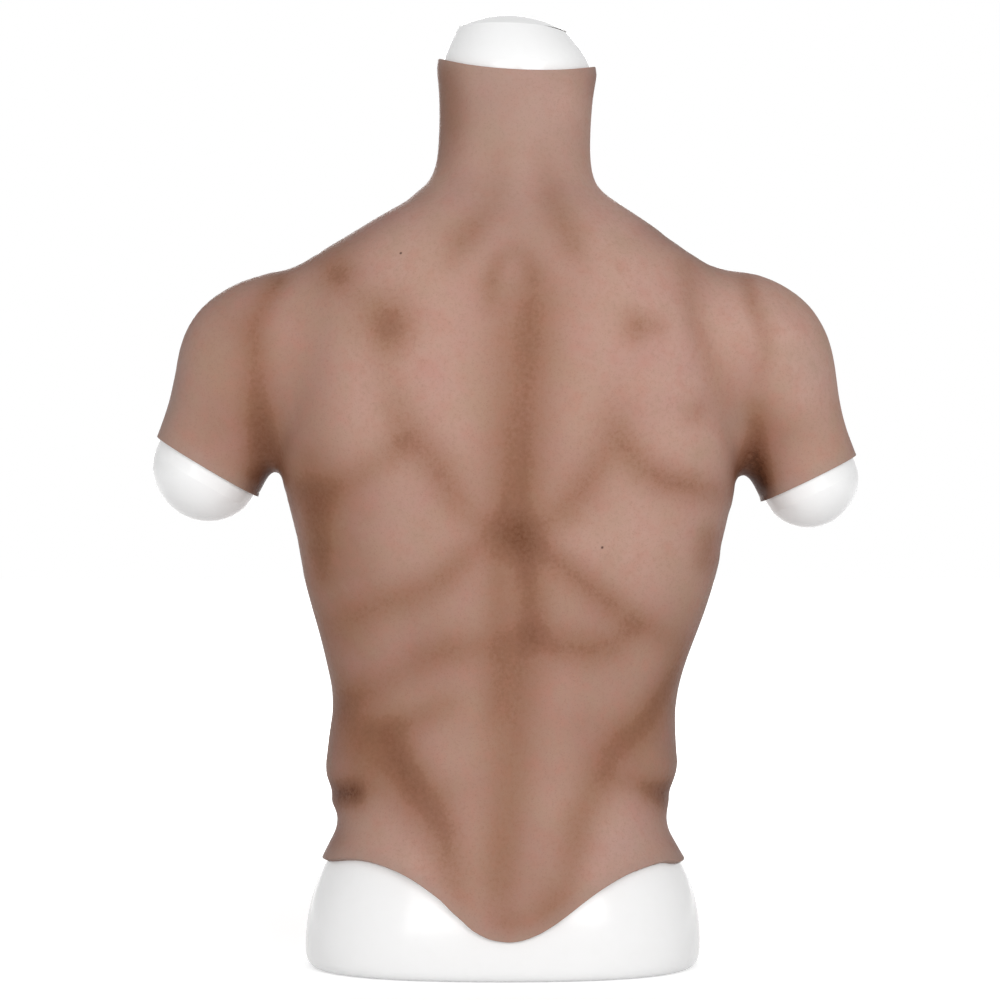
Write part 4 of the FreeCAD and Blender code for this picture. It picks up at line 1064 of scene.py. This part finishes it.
def studio_white():
    """Pale studio floor, matte: white to the camera, and it takes the object's shadow."""
    material, tree, output = new_material("studio_floor")
    seen = seen_straight(tree)
    matte = add_node(tree, "ShaderNodeBsdfDiffuse", {"Color": rgba(linear("#e6e6e6"))})
    place = add_node(tree, "ShaderNodeTexCoord").outputs["Object"]
    far = add_node(tree, "ShaderNodeVectorMath", {"operation": "LENGTH"}, _0=place)
    # beyond the reach of the lamps and of the shadow the floor is as white as the backdrop
    level = ramp(tree, far.outputs["Value"], 0.5, 1.0, start=0.6, end=1.5)
    level = add_node(tree, "ShaderNodeMath", {"operation": "MULTIPLY"}, _0=seen, _1=level)
    lift = add_node(tree, "ShaderNodeEmission", {"Color": (1, 1, 1, 1)}, Strength=level)
    both = add_node(tree, "ShaderNodeAddShader", None, _0=matte, _1=lift)
    tree.links.new(both.outputs[0], output.inputs[0])
    return material


class MANNEQUIN_OT_stage(bpy.types.Operator):
    """Sets the floor, the light and the camera"""

    bl_idname = "mannequin.stage"
    bl_label = "Stage"

    def execute(self, context):
        stage = context.scene.mannequin_stage
        scene = context.scene
        shape = bmesh.new()
        bmesh.ops.create_grid(shape, x_segments=1, y_segments=1, size=FLOOR_REACH)
        bmesh.ops.translate(shape, verts=shape.verts, vec=(0, 0, CAD_BOX[0].z - FLOOR_DROP))
        mesh = bpy.data.meshes.new("floor")
        shape.to_mesh(mesh)
        shape.free()
        mesh.materials.append(studio_white())
        floor = bpy.data.objects.new("floor", mesh)
        scene.collection.objects.link(floor)

        world = bpy.data.worlds.new("studio")
        world.use_nodes = True
        tree = world.node_tree
        tree.nodes.clear()
        output = add_node(tree, "ShaderNodeOutputWorld")
        level = ramp(tree, seen_straight(tree), stage.ambient, 1.0)
        sky = add_node(tree, "ShaderNodeBackground", {"Color": (1, 1, 1, 1)}, Strength=level)
        tree.links.new(sky.outputs[0], output.inputs[0])
        scene.world = world

        for name, place, watts in LAMPS:
            soft_box(name, place, watts * stage.light)

        camera = bpy.data.objects.new("camera", bpy.data.cameras.new("camera"))
        camera.data.sensor_width = 36
        camera.data.lens = stage.lens
        camera.data.clip_start, camera.data.clip_end = 0.05, 50
        camera.location = (EYE_ASIDE, stage.distance, EYE_LEVEL)
        camera.rotation_euler = Euler((math.radians(90), 0, math.radians(180)))
        scene.collection.objects.link(camera)
        scene.camera = camera
        scene.view_settings.view_transform = "Standard"
        return {"FINISHED"}


class MANNEQUIN_PT_panel(bpy.types.Panel):
    """Settings and building steps of the mannequin"""

    bl_idname = "MANNEQUIN_PT_panel"
    bl_label = "Body opponent mannequin"
    bl_space_type = "VIEW_3D"
    bl_region_type = "UI"
    bl_category = "Mannequin"

    def draw(self, context):
        scene = context.scene
        for group in (scene.mannequin_skin, scene.mannequin_form, scene.mannequin_stage):
            box = self.layout.box()
            for name in group.__annotations__:
                box.prop(group, name)
        for operator in OPERATORS:
            self.layout.operator(operator.bl_idname)


OPERATORS = (MANNEQUIN_OT_muscle_skin, MANNEQUIN_OT_form, MANNEQUIN_OT_fittings, MANNEQUIN_OT_stage)
CLASSES = (SkinSettings, FormSettings, StageSettings, *OPERATORS, MANNEQUIN_PT_panel)


def register():
    """Registers the add-on's classes and settings."""
    for kind in CLASSES:
        bpy.utils.register_class(kind)
    bpy.types.Scene.mannequin_skin = PointerProperty(type=SkinSettings)
    bpy.types.Scene.mannequin_form = PointerProperty(type=FormSettings)
    bpy.types.Scene.mannequin_stage = PointerProperty(type=StageSettings)


def unregister():
    """Takes the classes and settings away again."""
    del bpy.types.Scene.mannequin_stage
    del bpy.types.Scene.mannequin_form
    del bpy.types.Scene.mannequin_skin
    for kind in reversed(CLASSES):
        bpy.utils.unregister_class(kind)


def main():
    """Builds the looks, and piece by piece."""
    register()
    bpy.ops.mannequin.muscle_skin()
    bpy.ops.mannequin.form()
    bpy.ops.mannequin.fittings()
    bpy.ops.mannequin.stage()


if __name__ == "__main__":
    main()
